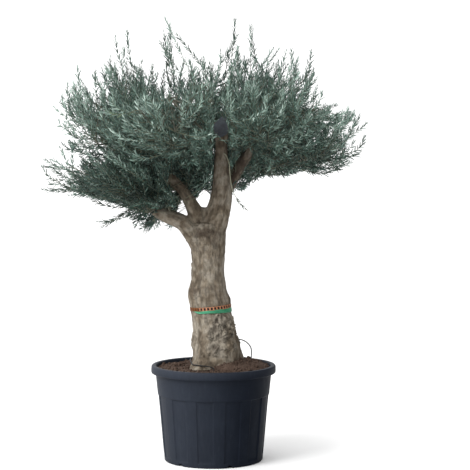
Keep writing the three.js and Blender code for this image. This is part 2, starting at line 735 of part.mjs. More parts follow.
// Leaves of one twig: a pair at each station, turned a quarter each time, and one at the tip.
function twigLeaves(curve, share, size, turn) {
  const place = (at, tilt, spin) => {
    const along = curve.getTangent(at * share);
    const axis = leafAxis(along, spin + Math.PI / 2);
    const direction = along.clone().applyAxisAngle(axis, tilt);
    const root = curve.getPoint(at * share).addScaledVector(direction, -size.sunk);
    return leafCorners(size, root, direction, axis);
  };
  const pairs = size.stations.flatMap((at, row) => [0, Math.PI].map((half) => (
    place(at, LEAF_ANGLE, turn + (row * Math.PI) / 2 + half))));
  return [...pairs, place(LEAF_END, 0, turn)];
}

function makeCore(mass) {
  const geometry = new THREE.IcosahedronGeometry(1, 1);
  const position = geometry.getAttribute('position');
  for (let i = 0; i < position.count; i++) {
    const direction = new THREE.Vector3().fromBufferAttribute(position, i).normalize();
    const [across, upright] = CORE.waves;
    const lump = Math.sin(across * direction.x + mass.order) * Math.cos(upright * direction.z - mass.order);
    const reach = reachOf(mass, direction, CORE.share * (1 + CORE.lumps * lump));
    const point = mass.centre.clone().addScaledVector(direction, reach);
    position.setXYZ(i, point.x, point.y, point.z);
  }
  return solid(geometry);
}

function makeMass(mass, grownWood) {
  const stem = stemOf(mass);
  const taper = (share) => THREE.MathUtils.lerp(stem.radius, STEM.tipRadius, share);
  let body = makeCore(mass).add(solid(tube(sampleCurve(stem.curve, STEM.steps), taper, STEM.sides)));
  targetsOf(mass).forEach((target, index) => {
    const twig = twigTo(target, stem);
    const points = openStretch(mass, twig);
    const share = (points.length - 1) / TWIG.steps;
    if (share * twig.getLength() < TWIG.shortest) return;
    body = body.add(solid(tube(points, (at) => THREE.MathUtils.lerp(...TWIG.radii, at), TWIG.sides)));
    const turn = TURN * chance(index, mass.order + SALT.turn);
    const furthest = Math.max(shareOf(mass, target), 1) + LEAF_ROOM;
    const leaves = twigLeaves(twig, share, LEAF, turn).filter((leaf) => leafFits(mass, leaf, furthest));
    for (const leaf of leaves) body = body.add(leafSolid(leaf));
  });
  for (const limb of grownWood) body = body.subtract(limb);
  addPiece(mass.name, largestBody(body), leafGreen);
}

function makeDroopingShoot(grownWood) {
  const curve = lineCurve(DROOP.line);
  const points = sampleCurve(curve, DROOP.stepsPerPoint * (DROOP.line.length - 1));
  let body = solid(tube(points, (share) => THREE.MathUtils.lerp(...DROOP.radii, share), DROOP.sides));
  for (const leaf of twigLeaves(curve, 1, DROOP.leaf, DROOP.turn)) body = body.add(leafSolid(leaf));
  for (const limb of grownWood) body = body.subtract(limb);
  addPiece('drooping_shoot', largestBody(body), leafGreen);
}

makePot();
makeSoil();
const grownWood = [...Object.values(makeWood()), sealSolid(GAP)];
addPiece('sealed_cut', largestBody(sealSolid(0)), sealant);
makeTie('brown_tape', BROWN_TIE, brownTape);
makeTie('green_ribbon', GREEN_TIE, greenRibbon);
makeWateringLine();
masses.forEach((mass) => makeMass(mass, grownWood));
makeDroopingShoot(grownWood);

export default tree;
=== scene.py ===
"""The looks of a potted olive tree, built round its solids.

Numbers are millimetres and degrees, as in the solids' source, and MM turns them into Blender's metres.
The trunk, boughs and crown grow by the source's rules, carried to finer bark, shoots and leaves of real size.
"""
import math

import bmesh
import bpy
import numpy as np
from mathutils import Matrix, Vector, noise


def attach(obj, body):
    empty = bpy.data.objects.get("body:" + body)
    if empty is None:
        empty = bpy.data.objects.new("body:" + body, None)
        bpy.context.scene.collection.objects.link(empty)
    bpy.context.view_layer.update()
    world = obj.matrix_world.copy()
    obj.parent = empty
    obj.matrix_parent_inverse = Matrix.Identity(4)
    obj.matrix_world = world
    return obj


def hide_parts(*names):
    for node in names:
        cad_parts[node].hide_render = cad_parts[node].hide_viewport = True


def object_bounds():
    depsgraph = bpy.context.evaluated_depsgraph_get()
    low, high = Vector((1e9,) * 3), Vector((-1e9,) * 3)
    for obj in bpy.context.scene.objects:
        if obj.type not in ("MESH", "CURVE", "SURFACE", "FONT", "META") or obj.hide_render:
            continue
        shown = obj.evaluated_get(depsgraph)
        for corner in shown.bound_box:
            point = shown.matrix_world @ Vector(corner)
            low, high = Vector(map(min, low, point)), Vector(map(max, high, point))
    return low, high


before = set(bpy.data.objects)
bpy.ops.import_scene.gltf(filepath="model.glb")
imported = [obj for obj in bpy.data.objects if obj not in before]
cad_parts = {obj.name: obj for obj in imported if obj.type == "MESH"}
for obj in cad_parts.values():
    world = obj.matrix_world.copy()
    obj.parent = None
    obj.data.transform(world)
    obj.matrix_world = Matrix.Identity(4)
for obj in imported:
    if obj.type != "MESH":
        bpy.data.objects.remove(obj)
CAD_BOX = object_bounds()
CAD_LOW, CAD_HIGH = np.array(CAD_BOX) * 1000

MM = 0.001
TURN = 2 * math.pi
GOLDEN_ANGLE = math.pi * (3 - math.sqrt(5))
UP = np.array([0.0, 0.0, 1.0])

# The camera stands where the photograph's perspective puts it, and looks a little down.
CAMERA_PLACE = (16, -7357, 1524)
CAMERA_AIM = (112, 0, 1173)
CAMERA_LENS = 108.5  # on a sensor 36 mm wide
# Outlines of the crown are as a level view from here shows them, on the upright plane y = 0.
VIEWPOINT = (0, -7500, 1600)

# The pot, as in the source.
POT = {"height": 497, "foot_radius": 256, "shoulder_radius": 302, "wall": 4, "floor": 18}
RIM = {"radius": 325, "height": 42, "under_lip": 6}
BAND = {"foot": 345, "step": 3}
PANEL = {"count": 12, "share": 0.57, "depth": 5, "foot": 22, "edge": 0.02, "turn": 0.0356}
NOTCH = {"count": 6, "width": 32, "height": 14, "length": 70, "turn": 0.885}

SOIL_TOP = 484
SOIL_FLAT_RADIUS = 195
SOIL_EDGE_TOP = 482
SOIL_EDGE_RADIUS = 294
MOUND_CENTRE = (110, -30, 472)
MOUND_RADII = (182, 165, 62)

# The trunk by height, its root flare and its burls, as in the source.
TRUNK_STATIONS = np.array([
    [484.3, 18, 0, 122], [544, 17, 0, 119], [669, 4, 0, 111], [794, -17, 0, 102], [888, -28, 0, 94],
    [1000, -28, 2, 84], [1080, -28, 5, 88], [1170, -34, 10, 99], [1235, -34, 12, 86],
])
FLARE_SPREAD = 54
FLARE_RISE = 46
FLARE_WIDTH = 0.45
FLARE_LOBES = [(230, 1.4), (4, 1.05), (120, 0.7), (62, 0.5), (180, 0.35), (298, 0.45)]
BURLS = [
    (182, 868, 11, 42), (352, 838, 12, 40), (185, 606, 13, 26), (318, 600, 17, 62), (345, 745, 9, 34),
    (262, 900, 8, 34), (285, 640, -9, 46), (250, 1150, 9, 50), (70, 820, 12, 60), (120, 640, 14, 55),
    (352, 622, 9, 26),
]
# Knots in the bark: bearing, height, radius of the ring, how far it stands out and how deep its eye is.
KNOTS = [
    (266, 678, 22, 5, 5), (304, 706, 30, 8, 4), (286, 742, 20, 4, 6), (262, 596, 19, 6, 4),
    (300, 628, 26, 8, 3), (232, 884, 17, 5, 3), (282, 1053, 15, 4, 1), (240, 1188, 24, 5, 3),
    (276, 1164, 19, 4, 3), (318, 660, 22, 6, 4), (292, 1200, 16, 4, 3), (210, 640, 15, 4, 2),
    (330, 705, 20, 6, 4), (236, 575, 15, 4, 2), (190, 640, 16, 6, 3), (120, 700, 24, 6, 5),
    (60, 900, 20, 5, 4), (160, 1000, 19, 5, 3), (85, 1100, 22, 6, 4), (20, 620, 20, 5, 4),
]
# A knot's form, as shares of its ring's radius or of its heights. Its dark_pit and dark_groove paint shade
# into the sunk eye and groove; dark_line is a dark ring in the bark.
KNOT = {"reach": 4, "warp": 0.75, "warp_scale": 0.035, "squash": 0.75, "rise": 0.45, "pit": 0.42,
        "groove_at": 1.5, "groove": 0.2, "groove_depth": 0.25, "line_at": 0.6, "line": 0.12,
        "dark_pit": 0.16, "dark_groove": 0.3, "dark_line": 0.18}
# Where the bark is gnarled: bearing, height, reach and how much rougher it is.
GNARLS = [
    (292, 690, 105, 1.6), (255, 1185, 85, 1.5), (215, 890, 60, 1.2), (275, 580, 70, 1.2), (90, 760, 120, 1.6),
]

# Boughs and side limbs, as in the source: centreline and radius at each point.
LIMBS = {
    "bough_left_low": ([
        [-40, 0, 1100], [-105, -4, 1185], [-165, -8, 1240], [-235, -12, 1272], [-284, -15, 1294],
        [-322, -17, 1322]], [62, 52, 43, 38, 31, 27]),
    "bough_left_high": ([
        [-46, 0, 1170], [-84, -2, 1262], [-123, -4, 1347], [-167, -8, 1415], [-265, -12, 1507],
        [-352, -18, 1630]], [56, 44, 33, 29, 26, 22]),
    "bough_centre": ([
        [-16, 0, 1160], [14, -5, 1262], [42, -10, 1385], [42, -13, 1540], [41, -16, 1640],
        [44, -20, 1790]], [70, 64, 56, 38, 31, 46]),
    "bough_right": ([
        [0, 24, 1160], [22, 45, 1290], [62, 70, 1400], [119, 95, 1492], [172, 110, 1580],
        [246, 122, 1650]], [58, 48, 40, 31, 28, 23]),
    "bough_back": ([
        [-14, 36, 1160], [22, 104, 1284], [34, 186, 1384], [36, 262, 1480], [62, 330, 1590]],
        [58, 46, 37, 31, 25]),
    "limb_top": ([[43, -14, 1640], [20, 40, 1722], [-24, 62, 1800]], [23, 18, 14]),
    "limb_front_left": ([[-258, -14, 1500], [-250, -110, 1600], [-222, -225, 1712]], [21, 17, 13]),
    "limb_front_right": ([[150, 102, 1545], [196, -20, 1620], [222, -200, 1722]], [22, 18, 13]),
    "limb_right_low": ([[172, 110, 1580], [248, 70, 1602], [330, 14, 1628]], [24, 20, 16]),
    "limb_back_left": ([[35, 262, 1480], [-70, 330, 1548], [-165, 366, 1612]], [26, 20, 16]),
}
FORK_CENTRE = (-54, -4, 1281)
FORK_RADII = (38, 34, 38)
LUMP_HEIGHT = 0.05
LUMP_FADE = 0.25
LUMP_WAVES = [(2, 9, 1), (3, -14, 0.6)]

CUT_CENTRE = np.array([43, -19, 1728])
CUT_NORMAL = np.array([-0.1, -0.785, 0.61]) / np.linalg.norm([-0.1, -0.785, 0.61])

# The crown, as in the source: for each mass its limb, centre, radii and named tips.
MASSES = {
    "foliage_left_low": ("bough_left_low", [-480, -20, 1440], [370, 385, 262], [
        [-894, -30, 1532], [-884, -60, 1412], [-332, -110, 1158], [-226, -150, 1214], [-560, -80, 1186]]),
    "foliage_left_high": ("bough_left_high", [-470, -20, 1815], [310, 345, 362], [
        [-750, -30, 1952], [-697, -40, 2046], [-440, -40, 2226], [-500, -60, 2188]]),
    "foliage_top": ("limb_top", [-90, 40, 1900], [335, 340, 290], [
        [-253, 20, 2313], [-226, 60, 2262], [112, 40, 2300], [122, 60, 2208]]),
    "foliage_right_high": ("bough_right", [320, 30, 1840], [345, 345, 308], [
        [198, 30, 2262], [310, 0, 2140], [404, 0, 2132], [506, 0, 2124], [684, 10, 1925]]),
    "foliage_right_low": ("limb_right_low", [420, -30, 1655], [315, 360, 200], [
        [775, -30, 1612], [708, -40, 1550], [716, -40, 1796], [600, -60, 1504]]),
    "foliage_front_left": ("limb_front_left", [-205, -400, 1830], [335, 315, 255], [[-200, -726, 1870]]),
    "foliage_front_right": ("limb_front_right", [250, -385, 1820], [340, 325, 245], [[260, -716, 1860]]),
    "foliage_back_left": ("limb_back_left", [-275, 395, 1700], [385, 350, 335], [[-260, 752, 1760]]),
    "foliage_back_right": ("bough_back", [200, 405, 1730], [375, 350, 330], [[210, 764, 1800]]),
}
MASS_NAMES = list(MASSES)
CENTRES = np.array([MASSES[name][1] for name in MASS_NAMES], float)
RADII = np.array([MASSES[name][2] for name in MASS_NAMES], float)
CLEARING_CENTRE = np.array([46, -270, 1722])
CLEARING_RADII = np.array([64, 300, 80])
FOCUS = np.array([-30, 20, 1300])
FIELD = {"out": 0.7, "up": 0.62, "level": 1330, "rise": 380, "droop": -0.45}
SPACE_SHARE = 1.5
BORDER_MARGIN = 0.035
WOOD_MARGIN = 6
REACH_STEP = 12
STEM = {"rise": 0.2, "bend": 0.42, "width": 0.94, "tip_radius": 6}
TWIG = {"count": 19, "radii": (8, 4), "steps": 3, "bend": 0.3, "leaf_share": 0.6, "ends": (0.86, 1.02),
        "root": (0.72, -0.06, 0.12, 0.9), "sway": 0.5}
SPRAY_LENGTH = 176
SALT = {"share": 40, "turn": 80}
HASH = (12.9898, 78.233, 43758.5453)

# Finer shoots fill the crown, one tip in each cell of a jittered grid, out to the crown's rounded edge.
SHOOT_CELL = 60
SHOOT_DEPTH = 0.3  # share of the way out from which shoots are set
SHOOT_LENGTH = (130, 260)
SHOOT_RADII = (1.7, 0.7)
SHOOT_STEPS = 5
SHOOT_SWAY = 0.3
SHOOT_BEND = 0.4
SHOOT_UP = 0.75  # how much steeper than the source's twigs the shoots stand high in the crown
SHOOT_UP_FROM = 1480
SHOOT_UP_TO = 1800
CROWN_BLEND = 3.2  # how sharply the masses' spaces meet in the crown's edge
# Branchlets between the twigs and the shoots, spread the same way but wider and further in.
BRANCHLET_CELL = 150
BRANCHLET_SHARES = (0.25, 0.8)
BRANCHLET_RADII = (3.6, 1.8)
ROOT_CROWDING = 22  # how much farther a shoot goes for a root, for each shoot that is there already
TWIG_INSIDE = 15  # how far inside the crown's outline the source's twigs end
TWIG_SHARE = 0.76  # and at which share of the way out
BRANCHLET_INSIDE = 40
# Through the crown's ragged edge the shoots thin out: from how far inside the outline to how far outside it,
# how much sharper near the foot and up to how far from it, and the same as shares of the way out.
EDGE_INSIDE = 135
EDGE_OUTSIDE = 125
FOOT_SHARPNESS = 3.5
FOOT_REACH = 170
EDGE_SHARES = (0.8, 1.1)
EDGE_POWER = 3  # how sparse the edge is
LIMB_SHOOTS = 0.55  # share of a mass's limb beyond which shoots may start on it
# Tall single shoots over the crown: how many, how far above its top, how deep to either side of the middle,
# how they thin out upwards, and the top's roundness to the sides and to the back.
SPIKE_COUNT = 170
SPIKE_RISE = (-30, 125)
SPIKE_DEPTH = 420
SPIKE_SKEW = 1.3
SPIKE_SPAN = 950
SPIKE_FALL = 0.0006
SINGLE_OUTSIDE = 400  # how far outside the crown's outline a single shoot may pass
FOOT_SLACK = 0.3  # share of that by which it may pass under the foot
SPIKE_LENGTH = (200, 360)
SPIKE_LOW = 1850  # single shoots that end above this height are long ones
SPIKE_UP = 0.6  # how much steeper they stand than the rest
SPIKE_ALONG = 0.75  # how well a single shoot must keep its way: the cosine of the angle to it
COMPANY = 2  # shoots beside each named tip that stands over the crown, above this height
COMPANY_FROM = 1950
COMPANY_LOW = (-34, -34, -170)
COMPANY_HIGH = (34, 34, -30)
# Loose sprays round the crown's outline: how many, out of how many tries and between which heights, between
# which distances outside it, and how deep.
LOOSE_COUNT = 70
LOOSE_TRIES = 6000
LOOSE_HEIGHTS = (1340, 2060)
LOOSE_OUT = (20, 85)
LOOSE_DEPTH = 330
LOOSE_SHARE = 1.3
LOOSE_UNDER = 12  # how far they may come down below the crown's foot
# Airy sprays under the low left bough: how many, along which line, how far above it and how deep.
HANGING_COUNT = 46
HANGING_FOOT = [(-430, 1192), (-370, 1177), (-320, 1174), (-270, 1190), (-200, 1212)]
HANGING_RISE = (4, 88)
HANGING_Y = (-70, 160)
HANGING_LOW = 1250  # the source's lowest tips stand for these sprays
SPRIG = [(-572, -60, 1222), (-556, -45, 1238), (-592, -70, 1246)]
LEAF_SPACING = 14
LEAF_BARE = (0.15, 0.38)  # least and most share of a shoot that is bare
LEAF_LENGTH = (28, 43)
LEAF_WIDTH = 0.2  # of its length
LEAF_LEAN = 0.63  # radians from the shoot
LEAF_ARCH = 0.07
LEAF_RIDGE = 0.055
# How pairs of leaves sit along a shoot: the last pair's share, the reach over which the shoot's way is taken,
# the spread of their turns, from where they grow smaller, how small the first ones are and up to where, the
# spread of their lean and how it falls along the shoot, and the spread of their twist.
PAIRS = {"last": 0.985, "way": 0.04, "turn": 0.22, "end_from": 0.8, "end_size": 0.55, "first_size": 0.85,
         "first_to": 0.35, "lean": (0.55, 1.35), "lean_along": (1.1, 0.7), "twist": 0.25}
BARE_START = 1.4  # share of a shoot's whole length that carries leaves
# The closed part of the crown as the level view shows it, in x and height: its left side with a notch between
# two masses, its top, its right end and its foot.
CROWN_LEFT = [
    (-815, 1430), (-800, 1510), (-755, 1570), (-695, 1605), (-655, 1655), (-690, 1712), (-755, 1790),
]
CROWN_TOP = [
    (-745, 1835), (-690, 1868), (-618, 1895), (-562, 1968), (-392, 2003), (-279, 1985), (-222, 1968),
    (-177, 1903), (-143, 1990), (60, 2005), (117, 2040), (230, 2028), (400, 1994), (457, 1955), (530, 1890),
    (600, 1845), (670, 1785), (735, 1715),
]
CROWN_RIGHT = [(775, 1620), (790, 1575)]
CROWN_FOOT = [
    (-775, 1375), (-620, 1350), (-505, 1328), (-430, 1298), (-369, 1262), (-300, 1240), (-222, 1245),
    (-130, 1272), (-80, 1330), (106, 1362), (119, 1371), (165, 1396), (193, 1422), (219, 1455), (319, 1476),
    (400, 1494), (513, 1506), (680, 1508), (760, 1530),
]
CROWN_OUTLINE = np.array(CROWN_LEFT + CROWN_TOP + CROWN_RIGHT + CROWN_FOOT[::-1], float)
# Openings that the photograph shows as sky, seen from the camera: x, height and radii at y = 0.
SKY_GAPS = [(-46, 1360, 33, 46), (-152, 1318, 24, 38)]
# Low and far back behind the fork, foliage comes down to the gap between the boughs.
BACKING_COUNT = 100
BACKING_LOW = (-150, 60, 1375)
BACKING_HIGH = (60, 320, 1500)
# Sprays before the ends of two boughs: how many, and the corners of the space they fill.
COVERS = [
    (26, (-370, -260, 1490), (-240, -110, 1610)), (16, (130, -120, 1560), (250, 40, 1650)),
    (10, (-470, -120, 1270), (-350, 0, 1330)),
]
# Stretches of the boughs that nothing hides from the camera: limb, from share, to share and half the width
# kept free.
BARE_STRETCHES = [
    ("bough_centre", 0.25, 0.75, 42), ("bough_left_high", 0.15, 0.68, 33), ("bough_left_low", 0.2, 0.64, 36),
    ("bough_right", 0.58, 0.82, 26),
]
CUT_WINDOW = 31  # half the width kept free before the sealed cut
CLEARING_SHARE = 0.74  # how much of the source's clearing the leaves keep free
BOX_MARGIN = 5  # how far inside the solids' box shoots end
CHUNK = 4096  # points tested at once

rng = np.random.default_rng(11)


def chance(index, salt):
    wave = math.sin(index * HASH[0] + salt * HASH[1]) * HASH[2]
    return wave - math.floor(wave)


def unit(vectors):
    vectors = np.asarray(vectors, float)
    return vectors / np.linalg.norm(vectors, axis=-1, keepdims=True)


def mix(a, b, share):
    return a + (b - a) * share


def smooth_step(low, high, value):
    share = np.clip((value - low) / (high - low), 0, 1)
    return share * share * (3 - 2 * share)


# Meshes

def mesh_from(name, points, *face_groups):
    """A mesh from points in millimetres and arrays of faces, each array with one number of corners."""
    groups = [np.asarray(group, np.int32) for group in face_groups if len(group)]
    mesh = bpy.data.meshes.new(name)
    mesh.vertices.add(len(points))
    mesh.vertices.foreach_set("co", (np.asarray(points, float) * MM).astype(np.float32).ravel())
    corners = np.concatenate([group.ravel() for group in groups])
    sizes = np.concatenate([np.full(len(group), group.shape[1]) for group in groups])
    mesh.loops.add(len(corners))
    mesh.loops.foreach_set("vertex_index", corners)
    mesh.polygons.add(len(sizes))
    mesh.polygons.foreach_set("loop_start", np.concatenate([[0], np.cumsum(sizes)[:-1]]).astype(np.int32))
    mesh.update(calc_edges=True)
    mesh.validate()
    return mesh


def link(name, data):
    piece = bpy.data.objects.new(name, data)
    bpy.context.scene.collection.objects.link(piece)
    return piece


def with_modifiers(piece):
    """A piece's mesh with its modifiers applied."""
    return bpy.data.meshes.new_from_object(piece.evaluated_get(bpy.context.evaluated_depsgraph_get()))


def rework(mesh, change):
    """Changes a mesh through bmesh."""
    work = bmesh.new()
    work.from_mesh(mesh)
    change(work)
    work.to_mesh(mesh)
    work.free()


def fix_normals(mesh):
    rework(mesh, lambda work: bmesh.ops.recalc_face_normals(work, faces=work.faces))


def add_piece(name, mesh, materials, replaces=(), smooth=True):
    piece = link(name, mesh)
    for material in materials:
        mesh.materials.append(material)
    mesh.polygons.foreach_set("use_smooth", np.full(len(mesh.polygons), smooth))
    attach(piece, "root")
    if replaces:
        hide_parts(*replaces)
    return piece


def points_of(mesh):
    found = np.zeros(len(mesh.vertices) * 3, np.float32)
    mesh.vertices.foreach_get("co", found)
    return found.reshape(-1, 3).astype(float) / MM


def normals_of(mesh):
    found = np.zeros(len(mesh.vertices) * 3, np.float32)
    mesh.vertex_normals.foreach_get("vector", found)
    return found.reshape(-1, 3).astype(float)


def set_points(mesh, points):
    mesh.vertices.foreach_set("co", (points * MM).astype(np.float32).ravel())
    mesh.update()


def store(mesh, name, values):
    attribute = mesh.attributes.new(name, "FLOAT", "POINT")
    attribute.data.foreach_set("value", np.asarray(values, np.float32))


def grid_faces(rows, columns):
    """Quads between the rings of a grid with that many rows, its columns going round."""
    row, column = np.meshgrid(np.arange(rows - 1), np.arange(columns), indexing="ij")
    after = (column + 1) % columns
    a, b = row * columns + column, row * columns + after
    return np.stack([a, b, b + columns, a + columns], -1).reshape(-1, 4)


def fan_faces(ring, centre, outward=True):
    """Triangles from a ring of points to one point."""
    after = np.roll(ring, -1)
    order = (ring, after) if outward else (after, ring)
    return np.stack([*order, np.full(len(ring), centre)], -1)


def angles_of(sides):
    return TURN * np.arange(sides) / sides


def circle(radius, height, angles):
    return np.stack([radius * np.cos(angles), radius * np.sin(angles), np.full(len(angles), height)], -1)


def closed_rings(rings, first, last):
    """Points and faces of rings of points with one number of sides, closed at both ends by a middle point."""
    sides = len(rings[0])
    body = np.vstack(rings)
    ring = np.arange(sides)
    ends = np.vstack([fan_faces(ring, len(body), outward=False),
                      fan_faces((len(rings) - 1) * sides + ring, len(body) + 1)])
    return np.vstack([body, [first, last]]), grid_faces(len(rings), sides), ends


def ball(subdivisions):
    """The points and triangles of a ball of radius 1."""
    work = bmesh.new()
    bmesh.ops.create_icosphere(work, subdivisions=subdivisions, radius=1)
    points = np.array([corner.co[:] for corner in work.verts])
    faces = np.array([[corner.index for corner in face.verts] for face in work.faces])
    work.free()
    return points, faces


def tangents_of(points):
    ahead = np.vstack([points[1:], points[-1:]])
    behind = np.vstack([points[:1], points[:-1]])
    return unit(ahead - behind)


def frames_of(points):
    """Tangents of a line and two directions across it that don't twist."""
    tangents = tangents_of(points)
    across = np.array([1.0, 0, 0]) if abs(tangents[0][0]) < 0.9 else np.array([0, 1.0, 0])
    first = []
    for tangent in tangents:
        across = unit(across - tangent * across.dot(tangent))
        first.append(across)
    first = np.array(first)
    return tangents, first, np.cross(tangents, first)


def tube(points, radii, sides):
    """Points and faces of a closed tube. radii is one number for each point, or for each point and side."""
    points = np.asarray(points, float)
    _, first, second = frames_of(points)
    angles = angles_of(sides)
    radii = np.asarray(radii, float).reshape(len(points), -1)
    rings = (points[:, None] + radii[..., None] * (
        np.cos(angles)[None, :, None] * first[:, None] + np.sin(angles)[None, :, None] * second[:, None]))
    return closed_rings(rings, points[0], points[-1])


class Batch:
    """Many small meshes gathered into one."""

    def __init__(self):
        self.points, self.quads, self.triangles = [], [], []
        self.count = 0

    def add(self, points, quads=(), triangles=()):
        if len(quads):
            self.quads.append(np.asarray(quads) + self.count)
        if len(triangles):
            self.triangles.append(np.asarray(triangles) + self.count)
        self.points.append(points)
        self.count += len(points)

    def mesh(self, name):
        quads = np.vstack(self.quads) if self.quads else ()
        triangles = np.vstack(self.triangles) if self.triangles else ()
        return mesh_from(name, np.vstack(self.points), quads, triangles)


def spline(corners, samples):
    """Points of the smooth line through the corners, evenly by share, as the source samples it."""
    corners = np.asarray(corners, float)
    last = len(corners) - 1
    found = []
    for share in samples:
        at = min(max(share, 0), 1) * last
        low = min(int(at), last - 1)
        local = at - low
        p1, p2 = corners[low], corners[low + 1]
        p0 = corners[low - 1] if low else 2 * p1 - p2
        p3 = corners[low + 2] if low + 2 <= last else 2 * p2 - p1
        # centripetal spacing
        gaps = [max(np.linalg.norm(b - a) ** 0.5, 1e-4) for a, b in ((p0, p1), (p1, p2), (p2, p3))]
        first = ((p1 - p0) / gaps[0] - (p2 - p0) / (gaps[0] + gaps[1]) + (p2 - p1) / gaps[1]) * gaps[1]
        second = ((p2 - p1) / gaps[1] - (p3 - p1) / (gaps[1] + gaps[2]) + (p3 - p2) / gaps[2]) * gaps[1]
        curve = 2 * p1 - 2 * p2 + first + second
        bend = 3 * (p2 - p1) - 2 * first - second
        found.append(p1 + local * (first + local * (bend + local * curve)))
    return np.array(found)


def bezier(start, bend, end, samples):
    share = np.asarray(samples, float)[:, None]
    return (1 - share) ** 2 * start + 2 * share * (1 - share) * bend + share ** 2 * end


def values_along(values, samples):
    return np.interp(np.clip(samples, 0, 1) * (len(values) - 1), np.arange(len(values)), values)


# Materials

def new_material(name, roughness, specular=0.5):
    material = bpy.data.materials.new(name)
    material.use_nodes = True
    shader = material.node_tree.nodes["Principled BSDF"]
    shader.inputs["Roughness"].default_value = roughness
    shader.inputs["Specular IOR Level"].default_value = specular
    return material, material.node_tree, shader


def add_node(tree, kind, settings=None, **inputs):
    node = tree.nodes.new(kind)
    for key, value in (settings or {}).items():
        setattr(node, key, value)
    for key, value in inputs.items():
        socket = node.inputs[key.replace("_", " ")]
        if isinstance(value, bpy.types.NodeSocket):
            tree.links.new(value, socket)
        else:
            socket.default_value = value
    return node


def attribute_of(tree, name):
    return add_node(tree, "ShaderNodeAttribute", {"attribute_name": name}).outputs["Fac"]


def noise_of(tree, scale, detail=4, rough=0.55, stretch=(1, 1, 1)):
    """Noise over the object's own coordinates, scaled along each axis by the stretch."""
    coordinates = tree.nodes.new("ShaderNodeTexCoord")
    mapping = add_node(tree, "ShaderNodeMapping", Vector=coordinates.outputs["Object"], Scale=stretch)
    node = add_node(tree, "ShaderNodeTexNoise", Vector=mapping.outputs["Vector"], Scale=scale, Detail=detail,
                    Roughness=rough)
    return node.outputs["Fac"]


def ramp(tree, value, stops):
    node = add_node(tree, "ShaderNodeValToRGB", Fac=value)
    elements = node.color_ramp.elements
    while len(elements) < len(stops):
        elements.new(0.5)
    for element, (place, colour) in zip(elements, stops):
        element.position = place
        element.color = (*colour, 1) if len(colour) == 3 else colour
    return node.outputs["Color"]


def grey_ramp(tree, value, stops):
    return ramp(tree, value, [(place, (shade, shade, shade)) for place, shade in stops])


def blend_colours(tree, share, first, second, kind="MIX"):
    node = tree.nodes.new("ShaderNodeMix")
    node.data_type = "RGBA"
    node.blend_type = kind
    for socket, value in ((node.inputs[0], share), (node.inputs[6], first), (node.inputs[7], second)):
        if isinstance(value, bpy.types.NodeSocket):
            tree.links.new(value, socket)
        elif isinstance(value, tuple):
            socket.default_value = (*value, 1)
        else:
            socket.default_value = value
    return node.outputs[2]


def multiply(tree, share, first, second):
    return blend_colours(tree, share, first, second, "MULTIPLY")


def bump(tree, shader, height, strength, distance):
    node = add_node(tree, "ShaderNodeBump", Height=height, Strength=strength, Distance=distance)
    tree.links.new(node.outputs["Normal"], shader.inputs["Normal"])


def make_bark():
    material, tree, shader = new_material("bark", 0.9, 0.2)
    depth, shade, broad, streak = (attribute_of(tree, name) for name in ("depth", "shade", "broad", "streak"))
    grain = noise_of(tree, 190, 5, 0.65, (1, 1, 0.3))
    flecks = noise_of(tree, 75, 5, 0.7, (1, 1, 0.6))
    base = ramp(tree, broad, [
        (0.1, (0.117, 0.092, 0.065)), (0.4, (0.183, 0.150, 0.111)), (0.65, (0.225, 0.192, 0.148)),
        (0.95, (0.285, 0.251, 0.202))])
    streaked = multiply(tree, 0.7, base, grey_ramp(tree, streak, [(0.2, 0.42), (0.5, 0.8), (0.8, 1)]))
    flecked = multiply(tree, 0.55, streaked, grey_ramp(tree, flecks, [(0.34, 0.4), (0.52, 0.95), (0.7, 1)]))
    grained = multiply(tree, 0.5, flecked, grey_ramp(tree, grain, [(0.3, 0.4), (0.62, 1)]))
    # Painted shade: the bark darkens with depth, in its cracks and hollows.
    in_depth = grey_ramp(tree, depth, [(0.2, 0), (0.95, 0.85)])
    deep = blend_colours(tree, in_depth, grained, (0.024, 0.019, 0.014))
    # Painted shade from the shade attribute: on the boughs in the crown and on the right bough, besides darker
    # patches.
    shaded = blend_colours(tree, shade, deep, (0.052, 0.037, 0.028))
    tree.links.new(shaded, shader.inputs["Base Color"])
    bump(tree, shader, blend_colours(tree, 0.5, flecks, grain), 0.8, 0.005)
    return material


def make_plain(name, colour, roughness, specular, relief):
    """One base colour, with a bump given as (noise, strength, distance)."""
    material, tree, shader = new_material(name, roughness, specular)
    shader.inputs["Base Color"].default_value = (*colour, 1)
    grain, strength, distance = relief
    bump(tree, shader, noise_of(tree, *grain), strength, distance)
    return material


def make_shoot_material(name, colour):
    return make_plain(name, colour, 0.8, 0.3, ((300, 3), 0.4, 0.0006))


def make_leaf_materials(prefix=""):
    """The leaves' upper faces and then their paler, duller under faces."""
    veins = ((260, 2), 0.25, 0.0008)
    upper = [make_plain(prefix + name, colour, 0.5, 0.35, veins) for name, colour in LEAF_TINTS]
    return upper + [make_plain(prefix + name, colour, 0.7, 0.25, veins) for name, colour in UNDER_TINTS]


def make_mottled(name, roughness, specular, grain, stops, relief=None):
    """Colours that follow a noise, with a bump given as (noise, strength, distance)."""
    material, tree, shader = new_material(name, roughness, specular)
    tree.links.new(ramp(tree, noise_of(tree, *grain), stops), shader.inputs["Base Color"])
    if relief:
        rough, strength, distance = relief
        bump(tree, shader, noise_of(tree, *rough), strength, distance)
    return material


